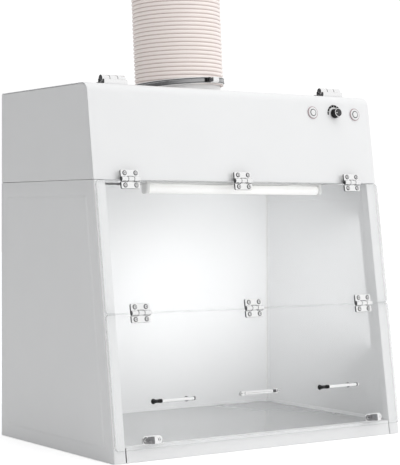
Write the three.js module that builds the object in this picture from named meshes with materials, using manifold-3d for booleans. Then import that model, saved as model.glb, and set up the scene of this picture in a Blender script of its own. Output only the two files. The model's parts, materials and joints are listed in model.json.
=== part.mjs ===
// A bench-top ducted fume hood: a double-walled steel cabinet with a sloping front, a clear
// bi-fold door, a fan housing on top whose front cover hinges up, and a flexible exhaust hose.
//
// Millimetres, +Z up, +X to the right of someone facing the door, the door faces -Y.
// The origin is on the surface that the cabinet stands on, midway between its sides and
// midway between the foot of the door and the back.
import * as THREE from 'three';
import { mergeVertices } from 'three/addons/utils/BufferGeometryUtils.js';
import Module from 'manifold-3d';

const wasm = await Module();
wasm.setup();

const ROUND_SIDES = 32; // facets round a duct-sized circle
const SMALL_SIDES = 10; // facets round a hinge-sized circle

// ---- driving dimensions: cabinet ---------------------------------------------------------
const WIDTH = 600;
const DEPTH = 388;
const HEIGHT = 610;
const FRONT_SETBACK = 88; // how far the top of the front leans back from its foot
const SEAM_HEIGHT = 450.5; // where the fan housing sits on the work chamber
const SHEET = 1.5;
const LINER = 3;
const FIT = 0.4; // gap between neighbouring sheets
const JAMB_WIDTH = 22;
const JAMB_RETURN = 18;
const LINER_FACE_X = 279.9; // inner face of each side liner
const LINER_FACE_Y = 174; // inner face of the back liner
const FIELD_DEPTH = 1.5; // height of the pressed field in each side
const FIELD_LOW = 22;
const FIELD_HIGH = 424.5;
const FIELD_REAR = 172;
const FIELD_MARGIN = 26; // distance of the field's front edge behind the sloping front
const FLOOR_TOP = 22;
const FLOOR_RIM = 5;
const SILL_TOP = 24.3;
const CORNER_RADIUS = 18; // bend between the sloping front and the top

// ---- driving dimensions: door, hinges and door furniture ---------------------------------
const SASH_THICKNESS = 5;
const SASH_STANDOFF = 0.4;
const SASH_HALF_WIDTH = 298.5;
const SASH_TOP = 454;
const SASH_AXIS = 455; // height of the door hinges' axis, measured up the slope
const FOLD_AXIS = 236.4;
const SASH_BOTTOM = 19.6;
const SASH_CORNER = 6;
const HINGE_CENTRES = { left: -236, centre: -8, right: 236 };
const LEAF_WIDTH = 36;
const LEAF_REACH = 15.6; // from the axis to the leaf's far edge
const LEAF_GAP = 4.5; // from the axis to the leaf's near edge
const LEAF_THICKNESS = 3.6;
const KNUCKLE_RADIUS = 4.1;
const KNUCKLE_HALF = 5.8; // half the length of the middle knuckle
const HINGE_PIN_RADIUS = 1.7;
const HINGE_BORE_RADIUS = 2.1;
const HINGE_SCREW_X = 10.5;
const HINGE_SCREW_RADIUS = 1.9;
const FURNITURE_BASE = SASH_STANDOFF + SASH_THICKNESS + 0.3; // outward face that fittings sit on
const HINGE_OUT = FURNITURE_BASE + LEAF_THICKNESS + 0.6; // axis distance out from the front
const PULL_HEIGHT = 94.5; // up the slope
const BOW_CENTRES = { left: -191, right: 153 };
const BOW_PITCH = 64;
const BOW_REACH = 27;
const BOW_RADIUS = 3.2;
const BAR_CENTRE = -9;
const BAR_HALF = 33;
const BAR_SCREW_X = 39.5;
const TAB_CENTRES = { left: -231, right: 236 };
const TAB_HEIGHT = 33; // up the slope
const TAB_HALF = 19;
const TAB_RADIUS = 7;
const TAB_REACH = 22;
const TAB_FIN_X = -10; // near face of the fin, from the plate's middle

// ---- driving dimensions: top hinges, controls --------------------------------------------
const TOP_HINGE_CENTRES = { left: -233, right: 233 };
const TOP_AXIS_Y = -76;
const TOP_AXIS_Z = 619.7;
const TOP_HINGE_HALF = 23;
const TOP_KNUCKLE_RADIUS = 6;
const TOP_KNUCKLE_HALF = 7.6;
const TOP_LEAF_THICKNESS = 3.2;
const CONTROL_HEIGHT = 583; // up the slope
const SWITCHES = { light: 166.5, fan: 265 };
const KNOB_X = 217;
const BEZEL_RADIUS = 11;
const SWITCH_BODY_RADIUS = 9;
const BUTTON_RADIUS = 6;
const BUTTON_TRAVEL = 2;
const KNOB_RADIUS = 8.7;
const KNOB_LENGTH = 12.5;

// ---- driving dimensions: fan, duct and lamp ----------------------------------------------
const DUCT_Y = 71;
const CEILING_Z = 452.9;
const CEILING_NOSE = -113.5; // Y of the ceiling plate's front edge
const CEILING_HOLE = 74;
const FAN_BORE = 77.2;
const FAN_WALL = 1.8;
const FAN_TOP = 596;
const FAN_FLANGE = 94;
const MOTOR_RADIUS = 30;
const MOTOR_SPAN = [500, 565]; // heights of the motor can
const MOTOR_ARM_SPAN = [520, 545];
const BLADE_COUNT = 7;
const BLADE_HEIGHT = 484; // middle of the blades
const GUARD_BAR_PITCH = 15;
const GUARD_SLOT = 10;
const COLLAR_TUBE = 75.8;
const HOSE_INNER = 77.6;
const HOSE_OUTER = 81.6;
const HOSE_FOOT = 626;
const HOSE_LENGTH = 180;
const CUFF_LENGTH = 36;
const HOSE_LEAN = THREE.MathUtils.degToRad(2.4);
const HOSE_LEAN_BEARING = THREE.MathUtils.degToRad(145.35); // the way it leans, from +X
const CLAMP_WIDTH = 9;
const CLAMP_HEIGHT = 5;
const CLAMP_TILT = THREE.MathUtils.degToRad(2.4);
const CLAMP_TURN = (2 * Math.PI) / ROUND_SIDES; // how far round the hose its screw sits
const LAMP_Y = -103;
const LAMP_Z = 437;
const LAMP_RADIUS = 7.8;
const LAMP_HALF = 188;
const INLET_X = 230;
const INLET_Z = 520;

const SLOPE = Math.atan2(FRONT_SETBACK, HEIGHT);
const frontY = (z) => -DEPTH / 2 + (FRONT_SETBACK * z) / HEIGHT;
const behind = (distance) => distance / Math.cos(SLOPE); // along Y for a distance off the front

// ---- finishes ----------------------------------------------------------------------------
const finish = (color, roughness, metalness, extra = {}) =>
  new THREE.MeshStandardMaterial({ color, roughness, metalness, ...extra });
const FINISH = {
  powderCoat: finish(0xeceded, 0.42, 0),
  liner: finish(0xe9eaea, 0.5, 0),
  worktop: finish(0xa2a4a5, 0.2, 0),
  clearAcrylic: finish(0xf6faf9, 0.05, 0, { transparent: true, opacity: 0.3 }),
  satinChrome: finish(0xc9cbcc, 0.25, 1),
  stainless: finish(0xb9bbbd, 0.3, 1),
  galvanised: finish(0xaeb2b5, 0.45, 1),
  hose: finish(0xe6dcd6, 0.5, 0),
  whitePlastic: finish(0xf2f2f0, 0.4, 0),
  blackPlastic: finish(0x1b1b1c, 0.45, 0),
  lampTube: finish(0xffffff, 0.3, 0, { emissive: 0xffffff, emissiveIntensity: 0.4 }),
};

// ---- solids ------------------------------------------------------------------------------
function solidOf(geometry) {
  const bare = geometry.clone();
  bare.deleteAttribute('normal');
  bare.deleteAttribute('uv');
  const merged = mergeVertices(bare, 1e-4);
  const mesh = new wasm.Mesh({
    numProp: 3,
    vertProperties: new Float32Array(merged.attributes.position.array),
    triVerts: new Uint32Array(merged.index.array),
  });
  return new wasm.Manifold(mesh);
}

function geometryOf(solid) {
  const mesh = solid.getMesh();
  const geometry = new THREE.BufferGeometry();
  geometry.setAttribute('position', new THREE.BufferAttribute(new Float32Array(mesh.vertProperties), 3));
  geometry.setIndex(new THREE.BufferAttribute(new Uint32Array(mesh.triVerts), 1));
  geometry.computeVertexNormals();
  return geometry;
}

const join = (first, ...rest) => rest.reduce((sum, piece) => sum.add(piece), first);
const cut = (solid, ...tools) => tools.reduce((left, tool) => left.subtract(tool), solid);

function box(x, y, z) {
  const geometry = new THREE.BoxGeometry(x[1] - x[0], y[1] - y[0], z[1] - z[0]);
  geometry.translate((x[0] + x[1]) / 2, (y[0] + y[1]) / 2, (z[0] + z[1]) / 2);
  return solidOf(geometry);
}

// A round bar along X, Y or Z; centre gives the other two coordinates in axis order.
function rod(axis, radius, span, centre = [0, 0], sides = 16) {
  const geometry = new THREE.CylinderGeometry(radius, radius, span[1] - span[0], sides);
  const middle = (span[0] + span[1]) / 2;
  if (axis === 'x') geometry.rotateZ(-Math.PI / 2).translate(middle, centre[0], centre[1]);
  if (axis === 'y') geometry.translate(centre[0], middle, centre[1]);
  if (axis === 'z') geometry.rotateX(Math.PI / 2).translate(centre[0], centre[1], middle);
  return solidOf(geometry);
}

// A ring or bowl turned about Z: the outline is [radius, height] pairs, anticlockwise and closed.
function turned(outline, sides) {
  const points = [...outline, outline[0]].map(([radius, height]) => new THREE.Vector2(radius, height));
  const geometry = new THREE.LatheGeometry(points, sides);
  geometry.rotateX(Math.PI / 2);
  return solidOf(geometry);
}

// Carries an outline drawn in Y and Z along X.
function alongX(outline, span) {
  const shape = new THREE.Shape(outline.map(([y, z]) => new THREE.Vector2(y, z)));
  const geometry = new THREE.ExtrudeGeometry(shape, { depth: span[1] - span[0], bevelEnabled: false });
  const turn = new THREE.Matrix4().makeBasis(
    new THREE.Vector3(0, 1, 0), new THREE.Vector3(0, 0, 1), new THREE.Vector3(1, 0, 0));
  geometry.applyMatrix4(turn).translate(span[0], 0, 0);
  return solidOf(geometry);
}

// A plate with rounded corners, drawn in X and Z and thickened along Y.
function roundedPlate(x, z, y, radii, segments = 4) {
  const [lowerLeft, lowerRight, upperRight, upperLeft] = radii;
  const shape = new THREE.Shape();
  shape.moveTo(x[0] + lowerLeft, z[0]);
  shape.absarc(x[1] - lowerRight, z[0] + lowerRight, lowerRight, -Math.PI / 2, 0);
  shape.absarc(x[1] - upperRight, z[1] - upperRight, upperRight, 0, Math.PI / 2);
  shape.absarc(x[0] + upperLeft, z[1] - upperLeft, upperLeft, Math.PI / 2, Math.PI);
  shape.absarc(x[0] + lowerLeft, z[0] + lowerLeft, lowerLeft, Math.PI, 1.5 * Math.PI);
  const options = { depth: y[1] - y[0], bevelEnabled: false, curveSegments: segments };
  const geometry = new THREE.ExtrudeGeometry(shape, options);
  geometry.rotateX(Math.PI / 2).translate(0, y[1], 0);
  return solidOf(geometry);
}

const hood = new THREE.Group();
const front = new THREE.Group(); // its X-Z plane is the sloping front, its -Y points out of it
front.position.set(0, -DEPTH / 2, 0);
front.rotation.x = -SLOPE;
hood.add(front);

function piece(name, solid, material, place = {}) {
  const mesh = new THREE.Mesh(geometryOf(solid), material);
  mesh.name = name;
  const { parent = hood, at = [0, 0, 0] } = place;
  mesh.position.set(...at);
  parent.add(mesh);
  return mesh;
}

// ---- cabinet shell -----------------------------------------------------------------------
// A band that runs up behind the sloping front, between two distances off it.
const frontBand = (near, far, low, high) => [
  [frontY(low) + behind(near), low],
  [frontY(low) + behind(far), low],
  [frontY(high) + behind(far), high],
  [frontY(high) + behind(near), high],
];

const fieldOutline = (grow) => [
  [frontY(FIELD_LOW) + FIELD_MARGIN - grow, FIELD_LOW - grow],
  [FIELD_REAR + grow, FIELD_LOW - grow],
  [FIELD_REAR + grow, FIELD_HIGH + grow],
  [frontY(FIELD_HIGH) + FIELD_MARGIN - grow, FIELD_HIGH + grow],
];

// The pressed field as a low frustum: the sheet steps out along a chamfered edge.
function pressedField(foot) {
  const shape = new THREE.Shape(fieldOutline(-FIELD_DEPTH).map(([y, z]) => new THREE.Vector2(y, z)));
  const options = {
    depth: FIELD_DEPTH, bevelThickness: FIELD_DEPTH, bevelSize: FIELD_DEPTH, bevelSegments: 1 };
  const geometry = new THREE.ExtrudeGeometry(shape, options);
  const turn = new THREE.Matrix4().makeBasis(
    new THREE.Vector3(0, 1, 0), new THREE.Vector3(0, 0, 1), new THREE.Vector3(1, 0, 0));
  geometry.applyMatrix4(turn).translate(foot - FIELD_DEPTH, 0, 0);
  return solidOf(geometry);
}

const mirrored = (solid, side) => (side === 'left' ? solid.mirror([1, 0, 0]) : solid);

function sidePanel(side) {
  const outer = WIDTH / 2;
  const top = SEAM_HEIGHT - FIT;
  const profile = [[frontY(0), 0], [DEPTH / 2, 0], [DEPTH / 2, top], [frontY(top), top]];
  const sheet = alongX(profile, [outer - SHEET, outer]);
  const pressed = join(sheet, pressedField(outer));
  const hollowed = cut(pressed, pressedField(outer - SHEET));
  const jambFace = alongX(frontBand(0, SHEET, 0, top), [outer - JAMB_WIDTH, outer - SHEET / 2]);
  const inner = outer - JAMB_WIDTH;
  const jambReturn = alongX(frontBand(SHEET / 2, JAMB_RETURN, 0, top), [inner, inner + SHEET]);
  return mirrored(join(hollowed, jambFace, jambReturn), side);
}

function sideLiner(side) {
  const low = FLOOR_TOP;
  const high = SEAM_HEIGHT - 1;
  const profile = [
    [frontY(low) + 3, low],
    [LINER_FACE_Y - FIT, low],
    [LINER_FACE_Y - FIT, high],
    [frontY(high) + 3, high],
  ];
  const board = alongX(profile, [LINER_FACE_X, LINER_FACE_X + LINER]);
  const recess = alongX(fieldOutline(-4), [LINER_FACE_X - 1, LINER_FACE_X + FIELD_DEPTH]);
  return mirrored(cut(board, recess), side);
}

for (const side of ['left', 'right']) {
  piece(`side_panel_${side}`, sidePanel(side), FINISH.powderCoat);
  piece(`side_liner_${side}`, sideLiner(side), FINISH.liner);
}

const inletHole = box(
  [INLET_X - 13.5, INLET_X + 13.5], [DEPTH / 2 - 5, DEPTH / 2 + 5], [INLET_Z - 10.5, INLET_Z + 10.5]);
const backSheet = box([-WIDTH / 2 + 2, WIDTH / 2 - 2], [DEPTH / 2 - SHEET, DEPTH / 2], [0, HEIGHT - 2]);
piece('back_panel', cut(backSheet, inletHole), FINISH.powderCoat);
piece('back_liner', box(
  [-LINER_FACE_X + FIT, LINER_FACE_X - FIT],
  [LINER_FACE_Y, LINER_FACE_Y + SHEET],
  [FLOOR_TOP, SEAM_HEIGHT - 1],
), FINISH.liner);

function baseTray() {
  const half = LINER_FACE_X - 2.4;
  const rear = LINER_FACE_Y - FIT;
  const nose = frontY(FLOOR_TOP) + 6;
  const plate = box([-half, half], [nose, rear], [FLOOR_TOP - 2, FLOOR_TOP]);
  const wallZ = [SHEET + FIT, FLOOR_TOP + FLOOR_RIM];
  const rightWall = box([half - SHEET, half], [nose + 14, rear], wallZ);
  const leftWall = box([-half, -half + SHEET], [nose + 14, rear], wallZ);
  const rearWall = box([-half, half], [rear - SHEET, rear], wallZ);
  return join(plate, rightWall, leftWall, rearWall);
}
piece('base_tray', baseTray(), FINISH.worktop);
piece('base_plate', box([-LINER_FACE_X + 3, LINER_FACE_X - 3], [frontY(0) + 14, DEPTH / 2 - 3], [0, SHEET]),
  FINISH.powderCoat);

function frontSill() {
  const span = [-WIDTH / 2 + JAMB_WIDTH + 1.5, WIDTH / 2 - JAMB_WIDTH - 1.5];
  const face = alongX(frontBand(0.3, SHEET + 0.3, 0, SILL_TOP), span);
  const ledge = alongX(frontBand(0.3, 16, SILL_TOP - SHEET, SILL_TOP), span);
  const foot = alongX(frontBand(0.3, 12, 0, SHEET), span);
  return join(face, ledge, foot);
}
piece('front_sill', frontSill(), FINISH.powderCoat);

// ---- fan housing -------------------------------------------------------------------------
const bendZ = HEIGHT - CORNER_RADIUS;
const bendY = frontY(bendZ) + behind(CORNER_RADIUS);

// The outline of a sheet edge that climbs the front and bends onto the top, inset from the
// outer surface. It runs from the foot of the housing to the given Y on the top.
function bentEdge(inset, foot, rear) {
  const bend = new THREE.Path();
  bend.absarc(bendY, bendZ, CORNER_RADIUS - inset, Math.PI - SLOPE, Math.PI / 2, true);
  const arc = bend.getPoints(6).map((point) => [point.x, point.y]);
  return [[frontY(foot) + behind(inset), foot], ...arc, [rear, HEIGHT - inset]];
}

function housingSide(side) {
  const outer = WIDTH / 2;
  const foot = SEAM_HEIGHT + FIT;
  const rear = DEPTH / 2;
  const profile = [...bentEdge(SHEET + 0.6, foot, rear), [rear, foot]];
  const sheet = alongX(profile, [outer - SHEET, outer]);
  const ledge = box([outer - 14, outer], [CEILING_NOSE, rear - 2], [foot, foot + SHEET]);
  return mirrored(join(sheet, ledge), side);
}
for (const side of ['left', 'right']) {
  piece(`housing_side_${side}`, housingSide(side), FINISH.powderCoat);
}

function topPanel() {
  const half = WIDTH / 2;
  const nose = TOP_AXIS_Y + 1;
  const sheet = box([-half, half], [nose, DEPTH / 2], [HEIGHT - SHEET, HEIGHT]);
  const lip = box([-half + 3, half - 3], [nose, nose + SHEET], [HEIGHT - 20, HEIGHT]);
  const hole = rod('z', COLLAR_TUBE + 2.2, [HEIGHT - 10, HEIGHT + 10], [0, DUCT_Y], ROUND_SIDES);
  return cut(join(sheet, lip), hole);
}
piece('top_panel', topPanel(), FINISH.powderCoat);

function ceilingPlate() {
  const half = WIDTH / 2 - 2.1;
  const plate = box([-half, half], [CEILING_NOSE, DEPTH / 2 - 2], [CEILING_Z, CEILING_Z + SHEET]);
  return cut(plate, rod('z', CEILING_HOLE, [CEILING_Z - 5, CEILING_Z + 5], [0, DUCT_Y], ROUND_SIDES));
}
piece('ceiling_plate', ceilingPlate(), FINISH.liner);

// A round grille of parallel bars under the fan.
function intakeGuard() {
  const disc = rod('z', CEILING_HOLE + 14, [CEILING_Z - 2.3, CEILING_Z - FIT], [0, DUCT_Y], ROUND_SIDES);
  const openRadius = CEILING_HOLE - 4;
  const slots = [-4, -3, -2, -1, 0, 1, 2, 3, 4].map((row) => {
    const half = Math.sqrt(openRadius ** 2 - (row * GUARD_BAR_PITCH) ** 2);
    const middle = DUCT_Y + row * GUARD_BAR_PITCH;
    return box(
      [-half, half], [middle - GUARD_SLOT / 2, middle + GUARD_SLOT / 2], [CEILING_Z - 5, CEILING_Z + 5]);
  });
  return cut(disc, ...slots);
}
piece('intake_guard', intakeGuard(), FINISH.whitePlastic);

// ---- fan ---------------------------------------------------------------------------------
function fanShell() {
  const low = CEILING_Z + SHEET + FIT;
  const outer = FAN_BORE + FAN_WALL;
  const outline = [
    [FAN_BORE, low], [FAN_FLANGE, low], [FAN_FLANGE, low + 2], [outer, low + 2],
    [outer, FAN_TOP], [FAN_BORE, FAN_TOP],
  ];
  const tube = turned(outline, ROUND_SIDES).translate([0, DUCT_Y, 0]);
  const terminalBox = box([FAN_BORE + 1, 104], [DUCT_Y - 17, DUCT_Y + 17], [500, 545]);
  return join(tube, terminalBox);
}
piece('fan_shell', fanShell(), FINISH.blackPlastic);

function fanMotor() {
  const can = rod('z', MOTOR_RADIUS, MOTOR_SPAN, [0, DUCT_Y], 24);
  const reach = FAN_BORE - 0.5;
  const armX = box([-reach, reach], [DUCT_Y - 1.5, DUCT_Y + 1.5], MOTOR_ARM_SPAN);
  const armY = box([-1.5, 1.5], [DUCT_Y - reach, DUCT_Y + reach], MOTOR_ARM_SPAN);
  return join(can, armX, armY);
}
piece('fan_motor', fanMotor(), FINISH.galvanised);

function fanRotor() {
  const hub = turned([[0, 470], [20, 470], [28, 477], [28, 496], [0, 496]], 24);
  const shaft = rod('z', 4, [490, MOTOR_SPAN[0] - FIT], [0, 0], 12);
  const parts = [hub, shaft];
  for (let index = 0; index < BLADE_COUNT; index += 1) {
    const blade = new THREE.BoxGeometry(48.5, 2, 26);
    blade.rotateX(THREE.MathUtils.degToRad(48)).translate(50, 0, BLADE_HEIGHT);
    blade.rotateZ((2 * Math.PI * index) / BLADE_COUNT);
    parts.push(solidOf(blade));
  }
  return join(...parts).translate([0, DUCT_Y, 0]);
}
piece('fan_rotor', fanRotor(), FINISH.blackPlastic);

// ---- exhaust duct ------------------------------------------------------------------------
const collarOutline = [
  [73.5, 598], [77.3, 598], [77.3, HEIGHT + FIT], [96, HEIGHT + FIT], [96, HEIGHT + 2.4],
  [80.5, HEIGHT + 2.4], [80.5, 619], [COLLAR_TUBE, 622], [COLLAR_TUBE, 652], [73.5, 652],
];
piece('duct_collar', turned(collarOutline, ROUND_SIDES), FINISH.powderCoat, { at: [0, DUCT_Y, 0] });

const duct = new THREE.Group(); // the hose leans a little away from upright
duct.position.set(0, DUCT_Y, HOSE_FOOT);
duct.quaternion.setFromAxisAngle(
  new THREE.Vector3(-Math.sin(HOSE_LEAN_BEARING), Math.cos(HOSE_LEAN_BEARING), 0), HOSE_LEAN);
hood.add(duct);

const ring = (inner, outer, low, high) => [[inner, low], [outer, low], [outer, high], [inner, high]];
const hose = turned(ring(HOSE_INNER, HOSE_OUTER, 0, HOSE_LENGTH), ROUND_SIDES);
piece('duct_hose', hose, FINISH.hose, { parent: duct });
const cuffLow = HOSE_LENGTH + FIT;
const cuffOutline = [
  [HOSE_INNER, cuffLow], [84.5, cuffLow], [84.5, cuffLow + CUFF_LENGTH - 4],
  [88, cuffLow + CUFF_LENGTH - 4], [88, cuffLow + CUFF_LENGTH], [HOSE_INNER, cuffLow + CUFF_LENGTH],
];
piece('hose_cuff', turned(cuffOutline, ROUND_SIDES), FINISH.whitePlastic, { parent: duct });

const clamp = new THREE.Group(); // the band sits a little askew on the hose
clamp.position.set(0, 0, CLAMP_HEIGHT);
clamp.quaternion.setFromAxisAngle(
  new THREE.Vector3(-Math.sin(HOSE_LEAN_BEARING), Math.cos(HOSE_LEAN_BEARING), 0), CLAMP_TILT);
clamp.rotateZ(CLAMP_TURN);
duct.add(clamp);
const bandOutline = ring(HOSE_OUTER + 0.5, HOSE_OUTER + 1.3, -CLAMP_WIDTH / 2, CLAMP_WIDTH / 2);
piece('clamp_band', turned(bandOutline, ROUND_SIDES), FINISH.stainless, { parent: clamp });

function clampScrew() {
  const face = -HOSE_OUTER - 1.6;
  const housing = box([-4, 12], [face - 9, face], [-CLAMP_WIDTH / 2 - 0.7, CLAMP_WIDTH / 2 + 0.7]);
  const screw = rod('x', 3.2, [-9, -3], [face - 4.5, 0], 12);
  const head = rod('x', 4.6, [-13, -8], [face - 4.5, 0], 6);
  return join(housing, screw, head);
}
piece('clamp_screw', clampScrew(), FINISH.stainless, { parent: clamp });

// ---- lamp, power -------------------------------------------------------------------------
function lampBatten() {
  const width = [LAMP_Y - 9, LAMP_Y + 9];
  const channel = box([-LAMP_HALF, LAMP_HALF], width, [LAMP_Z + 8.5, CEILING_Z - FIT]);
  const holderHeight = [LAMP_Z - 8.5, LAMP_Z + 9];
  const right = box([LAMP_HALF - 7, LAMP_HALF], width, holderHeight);
  const left = box([-LAMP_HALF, -LAMP_HALF + 7], width, holderHeight);
  return join(channel, right, left);
}
piece('lamp_batten', lampBatten(), FINISH.whitePlastic);
piece('lamp_tube', rod('x', LAMP_RADIUS, [-LAMP_HALF + 7.5, LAMP_HALF - 7.5], [LAMP_Y, LAMP_Z], 20),
  FINISH.lampTube);

function powerInlet() {
  const rear = DEPTH / 2 + 0.3;
  const body = box([INLET_X - 13, INLET_X + 13], [rear - 24, rear], [INLET_Z - 10, INLET_Z + 10]);
  const flange = roundedPlate(
    [INLET_X - 20, INLET_X + 20], [INLET_Z - 14, INLET_Z + 14], [rear - 0.001, rear + 2.5],
    [3, 3, 3, 3], 3);
  const socket = box([INLET_X - 11, INLET_X + 11], [rear - 16, rear + 9], [INLET_Z - 8, INLET_Z + 8]);
  const pins = [-7, 0, 7].map((offset) => box(
    [INLET_X + offset - 1, INLET_X + offset + 1], [rear - 18, rear - 2], [INLET_Z - 2, INLET_Z + 2]));
  return join(cut(join(body, flange), socket), ...pins);
}
piece('power_inlet', powerInlet(), FINISH.blackPlastic);

function powerSupply() {
  const low = CEILING_Z + SHEET + FIT;
  const can = box([150, 250], [95, 155], [low, low + 30]);
  const ears = box([140, 260], [115, 135], [low, low + 2]);
  return join(can, ears);
}
piece('power_supply', powerSupply(), FINISH.galvanised);

// ---- front cover of the fan housing ------------------------------------------------------
const throughFront = (x, radius) => {
  const tool = rod('y', radius, [-20, 20], [x, CONTROL_HEIGHT], 24);
  return tool.rotate([-THREE.MathUtils.radToDeg(SLOPE), 0, 0]).translate([0, -DEPTH / 2, 0]);
};

function frontCover() {
  const half = WIDTH / 2;
  const foot = SEAM_HEIGHT + FIT;
  const rear = TOP_AXIS_Y - 1.5;
  const outer = bentEdge(0, foot, rear);
  const inner = bentEdge(SHEET, foot, rear).reverse();
  const skin = alongX([...outer, ...inner], [-half, half]);
  const footFlange = alongX(frontBand(SHEET / 2, 14, foot, foot + SHEET), [-half + 3.8, half - 3.8]);
  const cheekProfile = [...bentEdge(SHEET / 2, foot, rear), ...bentEdge(14, foot, rear).reverse()];
  const rightCheek = alongX(cheekProfile, [half - 3.8, half - 2.3]);
  const leftCheek = alongX(cheekProfile, [-half + 2.3, -half + 3.8]);
  const folded = join(skin, footFlange, rightCheek, leftCheek);
  const switchHoles = Object.values(SWITCHES).map((x) => throughFront(x, SWITCH_BODY_RADIUS + 0.6));
  return cut(folded, ...switchHoles, throughFront(KNOB_X, 4.2));
}
piece('front_cover', frontCover(), FINISH.powderCoat);

for (const [side, x] of Object.entries(TOP_HINGE_CENTRES)) {
  const leafLow = HEIGHT + 0.3 - TOP_AXIS_Z;
  const leafHigh = leafLow + TOP_LEAF_THICKNESS;
  const at = [x, TOP_AXIS_Y, TOP_AXIS_Z];
  const half = TOP_HINGE_HALF;
  const split = TOP_KNUCKLE_HALF + FIT;
  const rearLeaf = box([-half, half], [6.6, 30], [leafLow, leafHigh]);
  const rearKnuckles = [[-half, -split], [split, half]].flatMap((span) => [
    rod('x', TOP_KNUCKLE_RADIUS, span, [0, 0], 12),
    box(span, [1.5, 7.5], [leafLow, 0]),
  ]);
  const pin = rod('x', 2.6, [-half - 1, half + 1], [0, 0], 12);
  piece(`top_hinge_${side}_rear_leaf`, join(rearLeaf, ...rearKnuckles, pin), FINISH.satinChrome, { at });
  const frontLeaf = box([-half, half], [-12.5, -6.6], [leafLow, leafHigh]);
  const middle = [-TOP_KNUCKLE_HALF, TOP_KNUCKLE_HALF];
  const knuckle = join(
    rod('x', TOP_KNUCKLE_RADIUS, middle, [0, 0], 12), box(middle, [-7.5, -1.5], [leafLow, 0]));
  const bored = cut(knuckle, rod('x', 3.0, [-half, half], [0, 0], 12));
  piece(`top_hinge_${side}_front_leaf`, join(frontLeaf, bored), FINISH.satinChrome, { at });
}

// ---- controls on the front cover ---------------------------------------------------------
for (const [use, x] of Object.entries(SWITCHES)) {
  const at = [x, 0, CONTROL_HEIGHT];
  const bezel = rod('y', BEZEL_RADIUS, [-2.6, -0.3], [0, 0], 24);
  const barrel = rod('y', SWITCH_BODY_RADIUS, [-1, 24], [0, 0], 16);
  const well = rod('y', BUTTON_RADIUS + 0.35, [-10, 6], [0, 0], 16);
  piece(`${use}_switch_body`, cut(join(bezel, barrel), well), FINISH.satinChrome, { parent: front, at });
  piece(`${use}_button`, rod('y', BUTTON_RADIUS, [-3.2, 6 - BUTTON_TRAVEL - 0.6], [0, 0], 16),
    FINISH.stainless, { parent: front, at });
}

function speedControl() {
  const potBody = box([-12, 12], [2.2, 13], [-12, 12]);
  const bushing = rod('y', 3.6, [-4, 3], [0, 0], 16);
  return join(potBody, bushing);
}
const knobPlace = { parent: front, at: [KNOB_X, 0, CONTROL_HEIGHT] };
piece('speed_control', speedControl(), FINISH.galvanised, knobPlace);

function speedKnob() {
  const skirt = rod('y', KNOB_RADIUS, [-7, -0.8], [0, 0], 24);
  const cap = rod('y', KNOB_RADIUS - 0.6, [-0.8 - KNOB_LENGTH, -6], [0, 0], 24);
  const recess = rod('y', 5, [-5, 0], [0, 0], 12);
  return cut(join(skirt, cap), recess);
}
piece('speed_knob', speedKnob(), FINISH.blackPlastic, knobPlace);

// ---- clear door --------------------------------------------------------------------------
const sashY = [-SASH_STANDOFF - SASH_THICKNESS, -SASH_STANDOFF];
const sashX = [-SASH_HALF_WIDTH, SASH_HALF_WIDTH];
const sashCorners = Array(4).fill(SASH_CORNER);
piece('upper_sash_panel', roundedPlate(sashX, [FOLD_AXIS + 0.6, SASH_TOP], sashY, sashCorners),
  FINISH.clearAcrylic, { parent: front });
piece('lower_sash_panel', roundedPlate(sashX, [SASH_BOTTOM, FOLD_AXIS - 0.6], sashY, sashCorners),
  FINISH.clearAcrylic, { parent: front });

const hingeAt = (x, height) => ({ parent: front, at: [x, -HINGE_OUT, height] });
const leafY = [0.6, 0.6 + LEAF_THICKNESS];

// A leaf lies above the axis (up = 1) or below it (up = -1).
function leafPlate(up) {
  const z = up > 0 ? [LEAF_GAP, LEAF_REACH] : [-LEAF_REACH, -LEAF_GAP];
  const radii = up > 0 ? [0.5, 0.5, 2.5, 2.5] : [2.5, 2.5, 0.5, 0.5];
  const plate = roundedPlate([-LEAF_WIDTH / 2, LEAF_WIDTH / 2], z, leafY, radii, 2);
  const holes = [-HINGE_SCREW_X, HINGE_SCREW_X].map((x) => (
    rod('y', HINGE_SCREW_RADIUS, [-5, 10], [x, up * (LEAF_GAP + LEAF_REACH) / 2], 6)));
  return cut(plate, ...holes);
}

const web = (span, up) => box(span, leafY, up > 0 ? [0, LEAF_GAP + 0.3] : [-LEAF_GAP - 0.3, 0]);

// The leaf that carries the two outer knuckles and the pin.
function pinnedLeaf(up) {
  const half = LEAF_WIDTH / 2;
  const split = KNUCKLE_HALF + FIT;
  const knuckles = [[-half, -split], [split, half]].flatMap((span) => [
    rod('x', KNUCKLE_RADIUS, span, [0, 0], SMALL_SIDES),
    web(span, up),
  ]);
  return join(leafPlate(up), ...knuckles, rod('x', HINGE_PIN_RADIUS, [-half - 0.5, half + 0.5], [0, 0], 8));
}

// The leaf that carries the middle knuckle, bored for the pin.
function boredLeaf(up) {
  const span = [-KNUCKLE_HALF, KNUCKLE_HALF];
  const knuckle = join(rod('x', KNUCKLE_RADIUS, span, [0, 0], SMALL_SIDES), web(span, up));
  return join(leafPlate(up), cut(knuckle, rod('x', HINGE_BORE_RADIUS, [-20, 20], [0, 0], 8)));
}

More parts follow.
